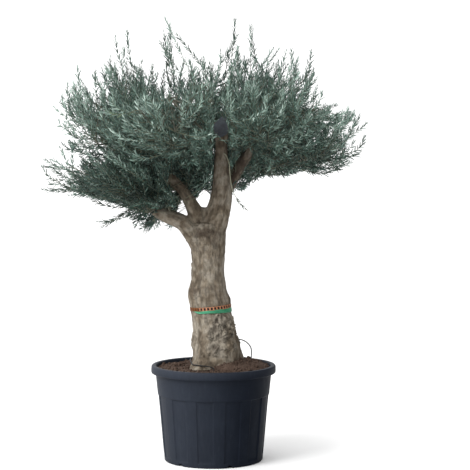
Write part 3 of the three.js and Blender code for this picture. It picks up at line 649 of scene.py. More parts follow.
def make_pot_plastic():
    """Satin blue-black plastic with scuffs, and painted light where the attribute says so: a paler, patchy
    film on the lit left side and a painted highlight along the rim.
    """
    material, tree, shader = new_material("pot_plastic", 0.5, 0.04)
    scuffs = noise_of(tree, 26, 5, 0.7, (3, 3, 0.5))
    colour = ramp(tree, noise_of(tree, 7, 6, 0.65), [
        (0.3, (0.0034, 0.0052, 0.0094)), (0.55, (0.0046, 0.0068, 0.0120)), (0.8, (0.008, 0.0115, 0.018))])
    scuffed = grey_ramp(tree, scuffs, [(0.56, 0), (0.8, 0.3)])
    worn = blend_colours(tree, scuffed, colour, (0.022, 0.026, 0.033))
    # Painted light: the lit left side and the rim are made paler, in patches.
    patchy = multiply(tree, 0.6, attribute_of(tree, "painted_light"), grey_ramp(tree, scuffs, [(0.3, 0.55), (0.7, 1)]))
    lit_colour = blend_colours(tree, patchy, worn, (0.050, 0.057, 0.072))
    tree.links.new(lit_colour, shader.inputs["Base Color"])
    tree.links.new(grey_ramp(tree, scuffs, [(0.3, 0.42), (0.75, 0.62)]), shader.inputs["Roughness"])
    bump(tree, shader, noise_of(tree, 900, 2), 0.12, 0.0006)
    return material


def make_soil_material():
    material, tree, shader = new_material("soil", 0.95, 0.2)
    crumbs = noise_of(tree, 150, 5, 0.7)
    colour = ramp(tree, noise_of(tree, 22, 5, 0.6), [
        (0.3, (0.046, 0.030, 0.022)), (0.55, (0.076, 0.051, 0.039)), (0.75, (0.112, 0.082, 0.066))])
    specks = ramp(tree, crumbs, [(0.36, (0.3, 0.27, 0.25)), (0.52, (0.85, 0.8, 0.76)), (0.68, (1, 1, 1))])
    tree.links.new(multiply(tree, 0.85, colour, specks), shader.inputs["Base Color"])
    bump(tree, shader, crumbs, 0.9, 0.003)
    return material


def make_tape_material():
    """Salmon-brown tape with dark marks at even steps round the trunk."""
    material, tree, shader = new_material("brown_tape", 0.6, 0.12)
    around, upward, plain = (attribute_of(tree, name) for name in ("around", "upward", "plain"))
    step = add_node(tree, "ShaderNodeMath", {"operation": "FRACT"})
    tree.links.new(around, step.inputs[0])
    inside = grey_ramp(tree, step.outputs[0], [(0.0, 0), (0.15, 0), (0.2, 1), (0.76, 1), (0.81, 0)])
    tall = grey_ramp(tree, upward, [(0.0, 0), (0.16, 0), (0.2, 1), (0.84, 1), (0.88, 0)])
    marks = multiply(tree, 1.0, inside, tall)
    base = ramp(tree, noise_of(tree, 40, 3), [(0.3, (0.26, 0.11, 0.055)), (0.7, (0.36, 0.17, 0.10))])
    marked = blend_colours(tree, marks, base, (0.008, 0.005, 0.004))
    brown = blend_colours(tree, marks, (0.125, 0.042, 0.010), (0.055, 0.018, 0.005))
    tree.links.new(blend_colours(tree, plain, marked, brown), shader.inputs["Base Color"])
    return material


# The trunk

def bearing_distance(angle, degrees):
    away = np.abs(angle - math.radians(degrees)) % TURN
    return np.minimum(away, TURN - away)


def trunk_at(height):
    """Centre x, centre y and mean radius of the trunk at each height, on the source's curve."""
    heights = TRUNK_STATIONS[:, 0]
    last = len(heights) - 1
    low = np.clip(np.searchsorted(heights, height, side="right") - 1, 0, last - 1)
    share = np.clip((height - heights[low]) / (heights[low + 1] - heights[low]), 0, 1)[..., None]
    a, b, c, d = (TRUNK_STATIONS[np.clip(low + step, 0, last), 1:] for step in (-1, 0, 1, 2))
    slope, after = 0.5 * (c - a), 0.5 * (d - b)
    curve = 2 * b - 2 * c + slope + after
    found = b + share * (slope + share * (3 * (c - b) - 2 * slope - after + share * curve))
    return found[..., 0], found[..., 1], found[..., 2]


def trunk_radius(height, angle):
    base = trunk_at(height)[2]
    flare = FLARE_SPREAD * np.exp(-(height - SOIL_TOP) / FLARE_RISE)
    lobes = sum(share * np.exp(-((bearing_distance(angle, bearing) / FLARE_WIDTH) ** 2))
                for bearing, share in FLARE_LOBES)
    burls = sum(
        out * np.exp(-((bearing_distance(angle, bearing) * base) ** 2 + (height - high) ** 2) / size ** 2)
        for bearing, high, out, size in BURLS)
    return base + flare * lobes + burls


def trunk_points(height, angle, extra=0.0):
    height, angle = np.broadcast_arrays(np.asarray(height, float), np.asarray(angle, float))
    x, y, _ = trunk_at(height)
    radius = trunk_radius(height, angle) + extra
    return np.stack([x + radius * np.cos(angle), y + radius * np.sin(angle), height], -1)


def shaft_mesh(rows, sides):
    foot, head = TRUNK_STATIONS[0, 0], TRUNK_STATIONS[-1, 0]
    heights = np.linspace(foot, head, rows)
    rings = trunk_points(heights[:, None], angles_of(sides)[None])
    return closed_rings(rings, *([trunk_at(h)[0], trunk_at(h)[1], h] for h in (foot, head)))


def limb_tube(line, radii, steps, sides):
    shares = np.linspace(0, 1, steps + 1)
    points = spline(line, shares)
    angles = angles_of(sides)
    lumps = sum(size * np.sin(times * angles[None] + along * shares[:, None])
                for times, along, size in LUMP_WAVES)
    fade = LUMP_HEIGHT * np.minimum(1, (1 - shares) / LUMP_FADE)
    return tube(points, values_along(radii, shares)[:, None] * (1 + fade[:, None] * lumps), sides)


def cut_by_plane(mesh, point, normal):
    """Takes away what lies beyond the plane and closes the cut."""
    def cut(work):
        geometry = work.verts[:] + work.edges[:] + work.faces[:]
        bmesh.ops.bisect_plane(work, geom=geometry, plane_co=point * MM, plane_no=normal, clear_outer=True)
        bmesh.ops.holes_fill(work, edges=[edge for edge in work.edges if edge.is_boundary])

    rework(mesh, cut)


WOOD_SHARES = np.linspace(0, 1, 41)
WOOD_LINES = {name: (spline(line, WOOD_SHARES), values_along(radii, WOOD_SHARES))
              for name, (line, radii) in LIMBS.items()}
TRUNK_END = 1150  # up to where the trunk's own line leads its bark
LIMB_EASE = 4
LIMB_SHIFT = 977  # sets the noise of one limb apart from the next one's
LIMB_BLEND = 0.4
LEAST_PART = 0.01


def limb_coordinates(points):
    """Each point's two nearest limbs, as distance along, two offsets across and radius, and how they mix."""
    heights = np.linspace(TRUNK_STATIONS[0, 0], TRUNK_END, 60)
    x, y, radius = trunk_at(heights)
    lines = [(np.stack([x, y, heights], -1), radius)] + list(WOOD_LINES.values())
    scores, places = [], []
    for number, (line, radii) in enumerate(lines):
        tangents, first, second = frames_of(line)
        lengths = np.concatenate([[0], np.cumsum(np.linalg.norm(np.diff(line, axis=0), axis=1))])
        offsets = points[:, None] - line[None]
        away = np.linalg.norm(offsets, axis=2) / (radii[None] + LIMB_EASE)
        nearest = away.argmin(1)
        offset = offsets[np.arange(len(points)), nearest]
        along = lengths[nearest] + (offset * tangents[nearest]).sum(1) + LIMB_SHIFT * number
        scores.append(away.min(1))
        across = [(offset * way[nearest]).sum(1) for way in (first, second)]
        places.append(np.stack([along, *across, radii[nearest]], -1))
    scores, places = np.array(scores), np.array(places)
    order = scores.argsort(0)[:2]
    rows = np.arange(len(points))
    gap = scores[order[1], rows] - scores[order[0], rows]
    return places[order[0], rows], places[order[1], rows], 0.5 * smooth_step(LIMB_BLEND, 0, gap)


def fractal_at(points, scale=1.0, shift=0, roughness=0.9, spread=2.1, detail=3):
    places = points * scale + shift
    return np.array([noise.fractal(Vector(place), roughness, spread, detail) for place in places])


def noise_at(points, scale, stretch=1.0, detail=3):
    """Noise from -1 to 1 at points, slower along their first axis by the stretch."""
    return fractal_at(points[:, :3] * scale * np.array([1 / stretch, 1, 1]), detail=detail)


def limb_noise(coordinates, shift, *settings):
    """Noise that runs along the limbs, one limb's blended into the next one's."""
    first, second, part = coordinates
    found = noise_at(first + shift, *settings)
    shared = np.nonzero(part > LEAST_PART)[0]
    other = noise_at(second[shared] + shift, *settings)
    found[shared] += part[shared] * (other - found[shared])
    return found


WOOD_VOXEL = 4.1
RELAX_FACTOR = 0.5
RELAX_STEPS = 7
PALE_LOW = 0.3  # how much paler the gnarled bark low on the trunk is
PALE_HEIGHTS = (860, 760)
# Noises that run along the limbs: shift, scale, stretch and detail.
BARK_NOISES = {
    "swell": (0, 0.011, 1.6, 3), "twist": (50, 0.03, 1.8, 3), "fissure": (90, 0.055, 4, 3),
    "crack": (500, 0.085, 4.5, 3), "broad": (900, 0.016, 1.7, 3), "streak": (300, 0.075, 4, 3),
}
# How far the kinds of relief stand out, all over and where the bark is gnarled.
BARK_HEIGHTS = {"swell": 3.2, "twist": 2.4, "fissure": 1.6, "crack": -1.6, "wrinkle": 1.2}
GNARL_HEIGHTS = {"lump": 5, "ridge": -2.6, "all": 1.4}
CRACK_SHARPNESS = 3
RIDGE_SHARPNESS = 4.2
RIDGE_POWER = 1.5
WRINKLE_LENGTH = 4.5
WRINKLE_SWAY = 6
GNARL_CORE = 0.3  # share of a gnarled patch's reach inside which it has its full strength
# How much each kind of relief counts as depth, which darkens the bark: painted shade in its cracks and
# hollows.
DEPTHS = {"crack": 0.3, "fissure": -0.1, "ridge": 0.1}
# The bark's tone: its middle, how much the broad noise and the mottling change it, and the same for streaks.
TONE = {"middle": 0.5, "broad": 0.75, "mottle": 0.5, "streak": 0.8}
# Relief is full on wood of this radius and falls to a share on thin wood. It fades at the cut and at the foot.
FULL_RELIEF = 90
LEAST_RELIEF = 0.22
CUT_FADE = (-14, 2)
CUT_REACH = 90
FOOT_FADE = (6, 1)
# Darker stretches of bark, as centre, radii and strength: scars low on the right, the fork, and a painted
# shadow on the right bough under the crown.
DARK_PATCHES = [
    ((36, -100, 762), (24, 40, 12), 0.5), ((8, -110, 700), (9, 40, 34), 0.32),
    ((128, 80, 1530), (70, 70, 150), 0.75), ((16, -115, 598), (20, 40, 14), 0.3),
    ((-55, -80, 1196), (46, 60, 34), 0.5), ((24, -90, 1170), (40, 50, 34), 0.35),
    ((-100, -60, 880), (34, 60, 24), 0.5), ((-60, -90, 880), (26, 60, 10), 0.5),
    ((40, -80, 640), (8, 50, 50), 0.15), ((-20, -90, 905), (60, 60, 10), 0.35),
    ((60, 110, 750), (60, 60, 60), 0.5), ((-90, 60, 1100), (50, 60, 60), 0.4),
]
PATCH_EDGE = (1.3, 0.4)
PATCH_RAGGED = 1.1
CROWN_DARK = 0.22  # how dark the bark gets up in the crown, as painted shade under the foliage, and between which heights
CROWN_DARK_HEIGHTS = (1300, 1560)


def join_wood():
    """The trunk, boughs and side limbs as one mesh, rounded at the crotches."""
    batch = Batch()
    batch.add(*shaft_mesh(150, 128))
    for name, (line, radii) in LIMBS.items():
        if name != "bough_centre":
            batch.add(*limb_tube(line, radii, 60, 40))
    round_points, round_faces = ball(3)
    batch.add(FORK_CENTRE + round_points * FORK_RADII, triangles=round_faces)
    stump = mesh_from("centre", *limb_tube(*LIMBS["bough_centre"], 90, 48))
    cut_by_plane(stump, CUT_CENTRE, CUT_NORMAL)
    wood = link("wood_work", batch.mesh("wood_work"))
    rework(wood.data, lambda work: work.from_mesh(stump))
    remesh = wood.modifiers.new("remesh", "REMESH")
    remesh.mode = "VOXEL"
    remesh.voxel_size = WOOD_VOXEL * MM
    relax = wood.modifiers.new("relax", "SMOOTH")
    relax.factor = RELAX_FACTOR
    relax.iterations = RELAX_STEPS
    made = with_modifiers(wood)
    bpy.data.objects.remove(wood)
    made.name = "trunk_and_boughs"
    return made


def add_knots(points, relief, depth):
    for bearing, high, ring, out, eye in KNOTS:
        away = points - trunk_points(high, math.radians(bearing))
        near = np.linalg.norm(away, axis=1) < KNOT["reach"] * ring
        warp = 1 + KNOT["warp"] * noise_at(away[near] + bearing, KNOT["warp_scale"], 1, 3)
        distance = np.linalg.norm(away[near] * [1, 1, KNOT["squash"]], axis=1) * warp

        def ripple(middle, width):
            return np.exp(-(((distance - middle * ring) / (width * ring)) ** 2))

        rise, pit = ripple(1, KNOT["rise"]), ripple(0, KNOT["pit"])
        groove = ripple(KNOT["groove_at"], KNOT["groove"])
        line = ripple(KNOT["line_at"], KNOT["line"])
        relief[near] += out * rise - eye * pit - KNOT["groove_depth"] * out * groove
        # Painted shade in the knot's eye and groove, and a dark ring line.
        depth[near] += KNOT["dark_pit"] * eye * pit + KNOT["dark_groove"] * groove + KNOT["dark_line"] * line


def make_wood():
    """One mesh for the trunk, boughs and side limbs, given its bark."""
    made = join_wood()
    points = points_of(made)
    normals = normals_of(made)
    coordinates = limb_coordinates(points)
    radius = mix(coordinates[0][:, 3], coordinates[1][:, 3], coordinates[2])
    near_cut = smooth_step(*CUT_FADE, (points - CUT_CENTRE) @ CUT_NORMAL) * (
        np.linalg.norm(points - CUT_CENTRE, axis=1) < CUT_REACH)
    at_foot = smooth_step(SOIL_TOP + FOOT_FADE[0], SOIL_TOP + FOOT_FADE[1], points[:, 2])
    size = np.clip(radius / FULL_RELIEF, LEAST_RELIEF, 1) * (1 - near_cut) * (1 - at_foot)
    gnarled = np.zeros(len(points))
    for bearing, high, reach, strength in GNARLS:
        away = np.linalg.norm(points - trunk_points(high, math.radians(bearing)), axis=1)
        gnarled = np.maximum(gnarled, strength * smooth_step(reach, GNARL_CORE * reach, away))

    found = {name: limb_noise(coordinates, *settings) for name, settings in BARK_NOISES.items()}
    found["crack"] = np.clip(1 - CRACK_SHARPNESS * np.abs(found["crack"]), 0, 1) ** 2
    found["wrinkle"] = noise_at(points, 0.02, 3, 2) * np.sin(
        points[:, 2] / WRINKLE_LENGTH + WRINKLE_SWAY * noise_at(points, 0.008, 1, 2))
    across = np.abs(noise_at(points + 37, 0.019, 1, 3))
    ridges = np.clip(1 - RIDGE_SHARPNESS * across, 0, 1) ** RIDGE_POWER
    lumps = noise_at(points + 71, 0.026, 1, 2)
    relief = size * sum(height * found[name] for name, height in BARK_HEIGHTS.items())
    relief += size * gnarled * (
        GNARL_HEIGHTS["lump"] * lumps + GNARL_HEIGHTS["ridge"] * ridges + GNARL_HEIGHTS["all"])
    # Depth is painted shade: darker in the cracks, in the sunk ridge lines of gnarled bark and in the knots.
    depth = DEPTHS["crack"] * found["crack"] * size + DEPTHS["fissure"] * found["fissure"]
    depth += DEPTHS["ridge"] * gnarled * ridges * size
    add_knots(points, relief, depth)
    points += normals * relief[:, None]
    points[:, 2] = np.maximum(points[:, 2], TRUNK_STATIONS[0, 0])
    set_points(made, points)
    store(made, "depth", np.clip(depth, 0, 1))
    store(made, "shade", wood_shade(points))
    pale = PALE_LOW * gnarled * smooth_step(*PALE_HEIGHTS, points[:, 2])
    mottle = TONE["mottle"] * noise_at(points, 0.03, 1, 2)
    store(made, "broad", TONE["middle"] + pale + TONE["broad"] * found["broad"] + mottle)
    store(made, "streak", TONE["middle"] + TONE["streak"] * found["streak"])
    add_piece("trunk_and_boughs", made, [make_bark()], ("trunk", *LIMBS))


def wood_shade(points):
    """How dark the bark is at each point: darker patches, scars among them, a painted shadow on the right
    bough, and painted shade on the boughs in the crown.
    """
    shade = np.zeros(len(points))
    ragged = noise_at(points, 0.035, 1, 3)
    for centre, radii, strength in DARK_PATCHES:
        away = np.linalg.norm((points - np.array(centre)) / np.array(radii), axis=1)
        shade = np.maximum(shade, strength * smooth_step(*PATCH_EDGE, away + PATCH_RAGGED * ragged))
    # Painted shade on the boughs up in the crown, under the foliage.
    in_crown = smooth_step(*CROWN_DARK_HEIGHTS, points[:, 2]) * CROWN_DARK
    return np.clip(np.maximum(shade, in_crown + 0.1 * ragged), 0, 1)


SEAL = {"sides": 96, "rings": 14, "search": (10, 130, 0.5), "lap": 2.4, "wave": 1.2, "dome": 2.6, "lift": 1.2,
        "top": 4, "bottom": 3}


def make_seal():
    """The painted disc over the slanted cut, a little domed and lapping over the edge."""
    across = unit(np.cross(CUT_NORMAL, UP))
    upward = np.cross(across, CUT_NORMAL)
    line, radii = LIMBS["bough_centre"]
    fine = np.linspace(0, 1, 161)
    fine_line, fine_radii = spline(line, fine), values_along(radii, fine)
    angles = angles_of(SEAL["sides"])
    ways = np.cos(angles)[:, None] * across + np.sin(angles)[:, None] * upward
    steps = np.arange(*SEAL["search"])
    reach = []
    for way in ways:
        trail = CUT_CENTRE + steps[:, None] * way
        away = np.linalg.norm(trail[:, None] - fine_line[None], axis=2) - fine_radii[None]
        reach.append(steps[np.nonzero(away.min(1) > 0)[0][0]])
    edge = np.array(reach) + SEAL["lap"] + SEAL["wave"] * np.sin(5 * angles) * np.sin(3 * angles + 1)
    rings = []
    for share in np.linspace(0.05, 1, SEAL["rings"]):
        lift = SEAL["lift"] + SEAL["dome"] * (1 - share ** 4) + 0.5 * np.sin(9 * share + 3 * np.sin(angles))
        rings.append(CUT_CENTRE + (edge * share)[:, None] * ways + lift[:, None] * CUT_NORMAL)
    drop = 3.5 + 2 * np.sin(4 * angles + 0.6)
    rings.append(CUT_CENTRE + edge[:, None] * 0.985 * ways - drop[:, None] * CUT_NORMAL)
    top, bottom = CUT_CENTRE + SEAL["top"] * CUT_NORMAL, CUT_CENTRE - SEAL["bottom"] * CUT_NORMAL
    mesh = mesh_from("sealed_cut", *closed_rings(rings, top, bottom))
    fix_normals(mesh)
    paint = make_mottled("wound_sealant", 0.62, 0.4, (34, 4), [
        (0.3, (0.026, 0.031, 0.040)), (0.7, (0.052, 0.06, 0.074))], ((60, 4, 0.6, (1, 1, 3)), 0.5, 0.002))
    add_piece("sealing_paint", mesh, [paint], ("sealed_cut",))


# The ties and the watering line

BAND_ROUND = 0.35
TAPE = {
    "height": 797, "rise": 9, "half": 9, "inner": 1.5, "outer": 4.6, "marks": 36, "plain_at": 190,
    "plain_edge": (52, 42),
}
RIBBON = {
    "height": 780.5, "rise": 8, "half": 8, "widening": 3.5, "inner": 2.4, "outer": 5.0, "tucked_at": 185,
    "tucked_edge": (52, 24), "tucked_up": 12, "tucked_inner": 1.4, "tucked_outer": 2.4,
}


def band_mesh(name, middle, half, inner, outer, sides=220, rows=5):
    """A closed band round the trunk whose middle height and half width may change with the bearing."""
    angles = angles_of(sides)
    shares = np.linspace(0, 1, rows)
    lows, highs = middle(angles) - half(angles), middle(angles) + half(angles)
    rings = []
    for share, depth in [(s, outer) for s in shares] + [(s, inner) for s in shares[::-1]]:
        heights = mix(lows, highs, share)
        round_edge = BAND_ROUND if share in (0, 1) else 0
        rings.append(trunk_points(heights, angles, depth(angles, share) - round_edge))
    rings.append(rings[0])
    body = np.vstack(rings[:-1])
    quads = grid_faces(len(rings), sides)
    quads %= len(body)
    mesh = mesh_from(name, body, quads)
    fix_normals(mesh)
    around = np.tile(angles / TURN, len(rings) - 1)
    upward = np.repeat(np.concatenate([shares, shares[::-1]]), sides)
    return mesh, around, upward


def near_bearing(angle, degrees, edge):
    """1 near a bearing, falling to 0 over an edge given in degrees from far to near."""
    return smooth_step(*np.radians(edge), bearing_distance(angle, degrees))


def make_ties():
    """The tape with its marks, and the ribbon under it, both a little higher on the right."""
    mesh, around, upward = band_mesh(
        "brown_tape", lambda a: TAPE["height"] + TAPE["rise"] * np.cos(a), lambda a: TAPE["half"],
        lambda a, s: TAPE["inner"] + 0 * a, lambda a, s: TAPE["outer"] + 0.5 * np.sin(7 * a + 2 * s))
    store(mesh, "around", around * TAPE["marks"])
    store(mesh, "upward", upward)
    store(mesh, "plain", near_bearing(around * TURN, TAPE["plain_at"], TAPE["plain_edge"]))
    add_piece("marked_tape", mesh, [make_tape_material()], ("brown_tape",))

    def tucked(a):
        return near_bearing(a, RIBBON["tucked_at"], RIBBON["tucked_edge"])

    def ribbon_middle(a):
        swing = RIBBON["rise"] * np.cos(a) + 1.5 * np.sin(3 * a)
        return RIBBON["height"] + swing + RIBBON["tucked_up"] * tucked(a)

    def ribbon_outer(a, s):
        folds = 1.0 * np.sin(11 * a + 5 * s) * np.sin(3 * a + 2)
        return RIBBON["outer"] - RIBBON["tucked_outer"] * tucked(a) + folds

    mesh, _, _ = band_mesh(
        "green_ribbon", ribbon_middle, lambda a: RIBBON["half"] + RIBBON["widening"] * np.cos(a),
        lambda a, s: RIBBON["inner"] - RIBBON["tucked_inner"] * tucked(a), ribbon_outer, rows=9)
    folded = (45, 3, 0.55, (1, 1, 4))
    ribbon = make_mottled("green_ribbon", 0.38, 0.5, folded, [
        (0.3, (0.008, 0.11, 0.05)), (0.6, (0.016, 0.18, 0.085)), (0.78, (0.05, 0.26, 0.145))],
        (folded, 0.3, 0.002))
    add_piece("ribbon_tie", mesh, [ribbon], ("green_ribbon",))


LINE = {
    "radius": 3, "from": (202, 198), "to": (0, -176), "high": 618, "low": 511, "clear": 7, "sway": 4,
    "buried": 8, "straight": 26, "shoulder": (-2, -12, -60), "crest": (34, 26, -4), "turn_points": 9,
    "fall": 0.5, "dip": (10, 14), "bearings": (0.16 * math.pi, 1.24 * math.pi, 1.34 * math.pi),
    "over_clear": 15,
}


def make_line():
    """The watering line, on the source's route."""
    start_bearing, end_bearing, over_bearing = LINE["bearings"]
    start = trunk_points(LINE["high"], start_bearing, LINE["clear"])
    from_x, from_y = LINE["from"]
    to_x, to_y = LINE["to"]
    points = [
        (from_x, from_y, SOIL_TOP - LINE["buried"]),
        (from_x, from_y, SOIL_TOP + LINE["straight"]),
        np.array([from_x, from_y, LINE["high"]]) + LINE["shoulder"],
        start + LINE["crest"],
    ]
    for share in np.linspace(0, 1, LINE["turn_points"] + 1):
        height = mix(LINE["high"], LINE["low"], share ** LINE["fall"])
        clear = LINE["clear"] + LINE["sway"] * math.sin(math.pi * share)
        points.append(trunk_points(height, mix(start_bearing, end_bearing, share), clear))
    points.append(trunk_points(LINE["low"], over_bearing, LINE["over_clear"]))
    points.append((to_x, to_y + LINE["dip"][0], SOIL_TOP + LINE["dip"][1]))
    points.append((to_x, to_y, SOIL_TOP - LINE["buried"]))
    route = spline(points, np.linspace(0, 1, 260))
    mesh = mesh_from("watering_line", *tube(route, np.full(len(route), LINE["radius"]), 16))
    plastic = make_mottled("line_plastic", 0.55, 0.2, (30, 4), [
        (0.35, (0.006, 0.006, 0.007)), (0.7, (0.014, 0.013, 0.012))])
    add_piece("watering_pipe", mesh, [plastic], ("watering_line",))


# The pot and its soil

def pot_radius(height):
    shoulder = POT["height"] - RIM["height"]
    return mix(POT["foot_radius"], POT["shoulder_radius"], np.minimum(height, shoulder) / shoulder)


def panel_sink(angle):
    """How far a panel is sunk at a bearing, from 0 to 1, with narrow slanting edges."""
    within = ((angle / TURN - PANEL["turn"]) * PANEL["count"]) % 1
    start = smooth_step(-PANEL["edge"], 0, within) * (within < 0.5)
    start += smooth_step(1 - PANEL["edge"], 1, within) * (within >= 0.5)
    stop = smooth_step(PANEL["share"], PANEL["share"] - PANEL["edge"], within)
    return np.where(within < PANEL["share"], stop, start * (within > 1 - PANEL["edge"]))


def make_pot():
    angles = angles_of(720)
    rim_foot = POT["height"] - RIM["height"]
    sink = panel_sink(angles)
    rings = []

    def ring(height, radius, share=0.0):
        rings.append(circle(radius - share * PANEL["depth"] * sink, height, angles))

    ring(0, pot_radius(0) - 26)
    ring(0, pot_radius(0) - 4)
    ring(1, pot_radius(0) - 1.4)
    for height in np.linspace(4, PANEL["foot"], 4):
        ring(height, pot_radius(height))
    for share in (0.25, 0.5, 0.75, 1):
        ring(PANEL["foot"] + 5 * share, pot_radius(PANEL["foot"]), share)
    for height in np.linspace(40, BAND["foot"] - 5, 24):
        ring(height, pot_radius(height) - BAND["step"] * smooth_step(PANEL["foot"], BAND["foot"], height), 1)
    ring(BAND["foot"] - 2.4, pot_radius(BAND["foot"]) - BAND["step"], 0.9)
    ring(BAND["foot"] - 0.8, pot_radius(BAND["foot"]) - 0.6 * BAND["step"], 0.3)
    ring(BAND["foot"] + 0.2, pot_radius(BAND["foot"]) - 0.8)
    ring(BAND["foot"] + 1.6, pot_radius(BAND["foot"]))
    for height in np.linspace(BAND["foot"] + 8, rim_foot - 2, 8):
        ring(height, pot_radius(height))
    ring(rim_foot, pot_radius(rim_foot) + 0.4)
    ring(rim_foot + 0.6, pot_radius(rim_foot) + 3)
    outer = RIM["radius"]
    for height, radius in (
        (1, outer - RIM["under_lip"]), (1.8, outer - 4), (4, outer - 1.6), (9, outer), (18, outer),
        (32, outer - 0.4), (37, outer - 1.6), (39.6, outer - 3.2), (41, outer - 5), (41.8, outer - 7),
        (42, outer - 9), (42, outer - 18), (41.4, outer - 22), (40, outer - 25),
    ):
        ring(rim_foot + height, radius)
    inside = pot_radius(rim_foot) - POT["wall"]
    ring(rim_foot + 36, inside)
    ring(rim_foot, inside)
    ring(BAND["foot"], pot_radius(BAND["foot"]) - PANEL["depth"] - BAND["step"] - POT["wall"])
    ring(POT["floor"] + 4, pot_radius(POT["floor"]) - PANEL["depth"] - POT["wall"])
    ring(POT["floor"], pot_radius(POT["floor"]) - PANEL["depth"] - POT["wall"] - 4)
    mesh = mesh_from("pot", *closed_rings(rings, [0, 0, 0], [0, 0, POT["floor"]]))
    fix_normals(mesh)
    cutters = Batch()
    for number in range(NOTCH["count"]):
        turn = TURN * (number / NOTCH["count"] + NOTCH["turn"])
        way = np.array([-math.sin(turn), math.cos(turn), 0])
        middle, half = POT["foot_radius"] * way, way * NOTCH["length"] / 2
        axis = np.array([middle - half, middle + half])
        points, quads, triangles = tube(axis, [NOTCH["width"] / 2] * 2, 28)
        points[:, 2] *= 2 * NOTCH["height"] / NOTCH["width"]
        cutters.add(points, quads, triangles)
    cutter = link("notch_cutter", cutters.mesh("notch_cutter"))
    pot = link("pot_work", mesh)
    cut = pot.modifiers.new("cut", "BOOLEAN")
    cut.operation = "DIFFERENCE"
    cut.solver = "EXACT"
    cut.object = cutter
    made = with_modifiers(pot)
    for piece in (cutter, pot):
        bpy.data.objects.remove(piece)
    made.materials.clear()
    store(made, "painted_light", painted_light_at(points_of(made)))
    add_piece("nursery_pot", made, [make_pot_plastic()], ("pot",))


# Painted light on the pot: its left side, towards the key light, and its rim's edge are painted paler, as if
# lit.
LIT_SIDE = math.radians(200)
LIT_FROM = -0.45  # cosine of the bearing from the lit side at which the painted light begins
PAINTED_SIDE_LIGHT = 0.34
RIM_HIGHLIGHT = 0.22


def painted_light_at(points):
    """How much painted light the pot gets: most on its lit left side, and a painted highlight along the rim.
    """
    bearing = np.arctan2(points[:, 1], points[:, 0])
    side = smooth_step(LIT_FROM, 1, np.cos(bearing - LIT_SIDE))
    rim = RIM_HIGHLIGHT * smooth_step(POT["height"] - RIM["height"], POT["height"], points[:, 2])
    return PAINTED_SIDE_LIGHT * side + rim * (1 - PAINTED_SIDE_LIGHT * side)


def soil_height(points):
    radius = np.hypot(points[:, 0], points[:, 1])
    base = mix(SOIL_TOP, SOIL_EDGE_TOP, smooth_step(SOIL_FLAT_RADIUS, SOIL_EDGE_RADIUS, radius))
    out = (((points[:, :2] - MOUND_CENTRE[:2]) / MOUND_RADII[:2]) ** 2).sum(1)
    base = np.maximum(base, MOUND_CENTRE[2] + MOUND_RADII[2] * np.sqrt(np.clip(1 - out, 0, 1)))
    flat = np.column_stack([points[:, :2], np.zeros(len(points))])
    waves = fractal_at(flat, 0.012)
    clods = fractal_at(flat, 0.07, 40, 0.8, 2.2, 3)
    crumbs = fractal_at(flat, 0.2, 90, 0.8, 2.2, 2)
    return base - SOIL_SUNK + SOIL_WAVES * waves + SOIL_CLODS * clods + SOIL_CRUMBS * crumbs


# How far the soil's surface lies under the solid's, and how high its waves, clods and crumbs stand.
SOIL_SUNK = 2
SOIL_WAVES = 3
SOIL_CLODS = 3
SOIL_CRUMBS = 1.6
SOIL_RING = 3.4  # between the rings of its mesh
SOIL_CLEAR = 0.5
# Crumbs: how many, how they crowd outwards, how far from the wall, how their sizes are dealt, and their form.
CRUMBS = {"count": 950, "inner": 0.12, "wall": 10, "gamma": (2.2, 1.5), "least": 1.5, "most": 11,
          "rough": 0.5, "rough_scale": 1.3, "stretch": (0.6, 1.25), "lift": 0.2}


def make_soil():
    inside = pot_radius(POT["height"] - RIM["height"]) - POT["wall"] - SOIL_CLEAR
    angles = angles_of(420)
    top = np.vstack([circle(radius, 0, angles) for radius in np.linspace(4, inside, int(inside / SOIL_RING))])
    top[:, 2] = soil_height(top)
    rings = list(top.reshape(-1, len(angles), 3))
    floor = POT["floor"] + 1
    for height, step in ((BAND["foot"], BAND["step"]), (floor, 0)):
        reach = pot_radius(height) - PANEL["depth"] - step - POT["wall"] - SOIL_CLEAR
        rings.append(circle(reach, height, angles))
    mesh = mesh_from("soil", *closed_rings(rings, [0, 0, SOIL_TOP - 6], [0, 0, floor]))
    fix_normals(mesh)
    material = make_soil_material()
    add_piece("potting_soil", mesh, [material], ("soil",))

    shape, faces = ball(2)
    clods = Batch()
    count = CRUMBS["count"]
    spread = np.sqrt(rng.uniform(CRUMBS["inner"], 1, count)) * (inside - CRUMBS["wall"])
    turns = rng.uniform(0, TURN, count)
    sizes = rng.gamma(*CRUMBS["gamma"], count) + CRUMBS["least"]
    places = np.stack([spread * np.cos(turns), spread * np.sin(turns), np.zeros(count)], -1)
    places[:, 2] = soil_height(places)
    for number, (place, size) in enumerate(zip(places, np.minimum(sizes, CRUMBS["most"]))):
        rough = np.array([noise.noise(Vector(p * CRUMBS["rough_scale"] + number)) for p in shape])
        crumb = size * shape * (1 + CRUMBS["rough"] * rough[:, None]) * rng.uniform(*CRUMBS["stretch"], 3)
        clods.add(place + crumb + [0, 0, size * CRUMBS["lift"]], triangles=faces)
    add_piece("soil_crumbs", clods.mesh("soil_crumbs"), [material])


# The crown

WOOD_POINTS = np.vstack([points for points, _ in WOOD_LINES.values()])
WOOD_RADII = np.concatenate([radii for _, radii in WOOD_LINES.values()])


def shares_of(points):
    return np.sqrt((((points[:, None] - CENTRES) / RADII) ** 2).sum(2))


def clear_of_wood(points, margin):
    clear = np.ones(len(points), bool)
    for start in range(0, len(points), CHUNK):
        part = points[start:start + CHUNK]
        away = np.linalg.norm(part[:, None] - WOOD_POINTS[None], axis=2) - WOOD_RADII[None]
        clear[start:start + CHUNK] = away.min(1) > margin
    return clear


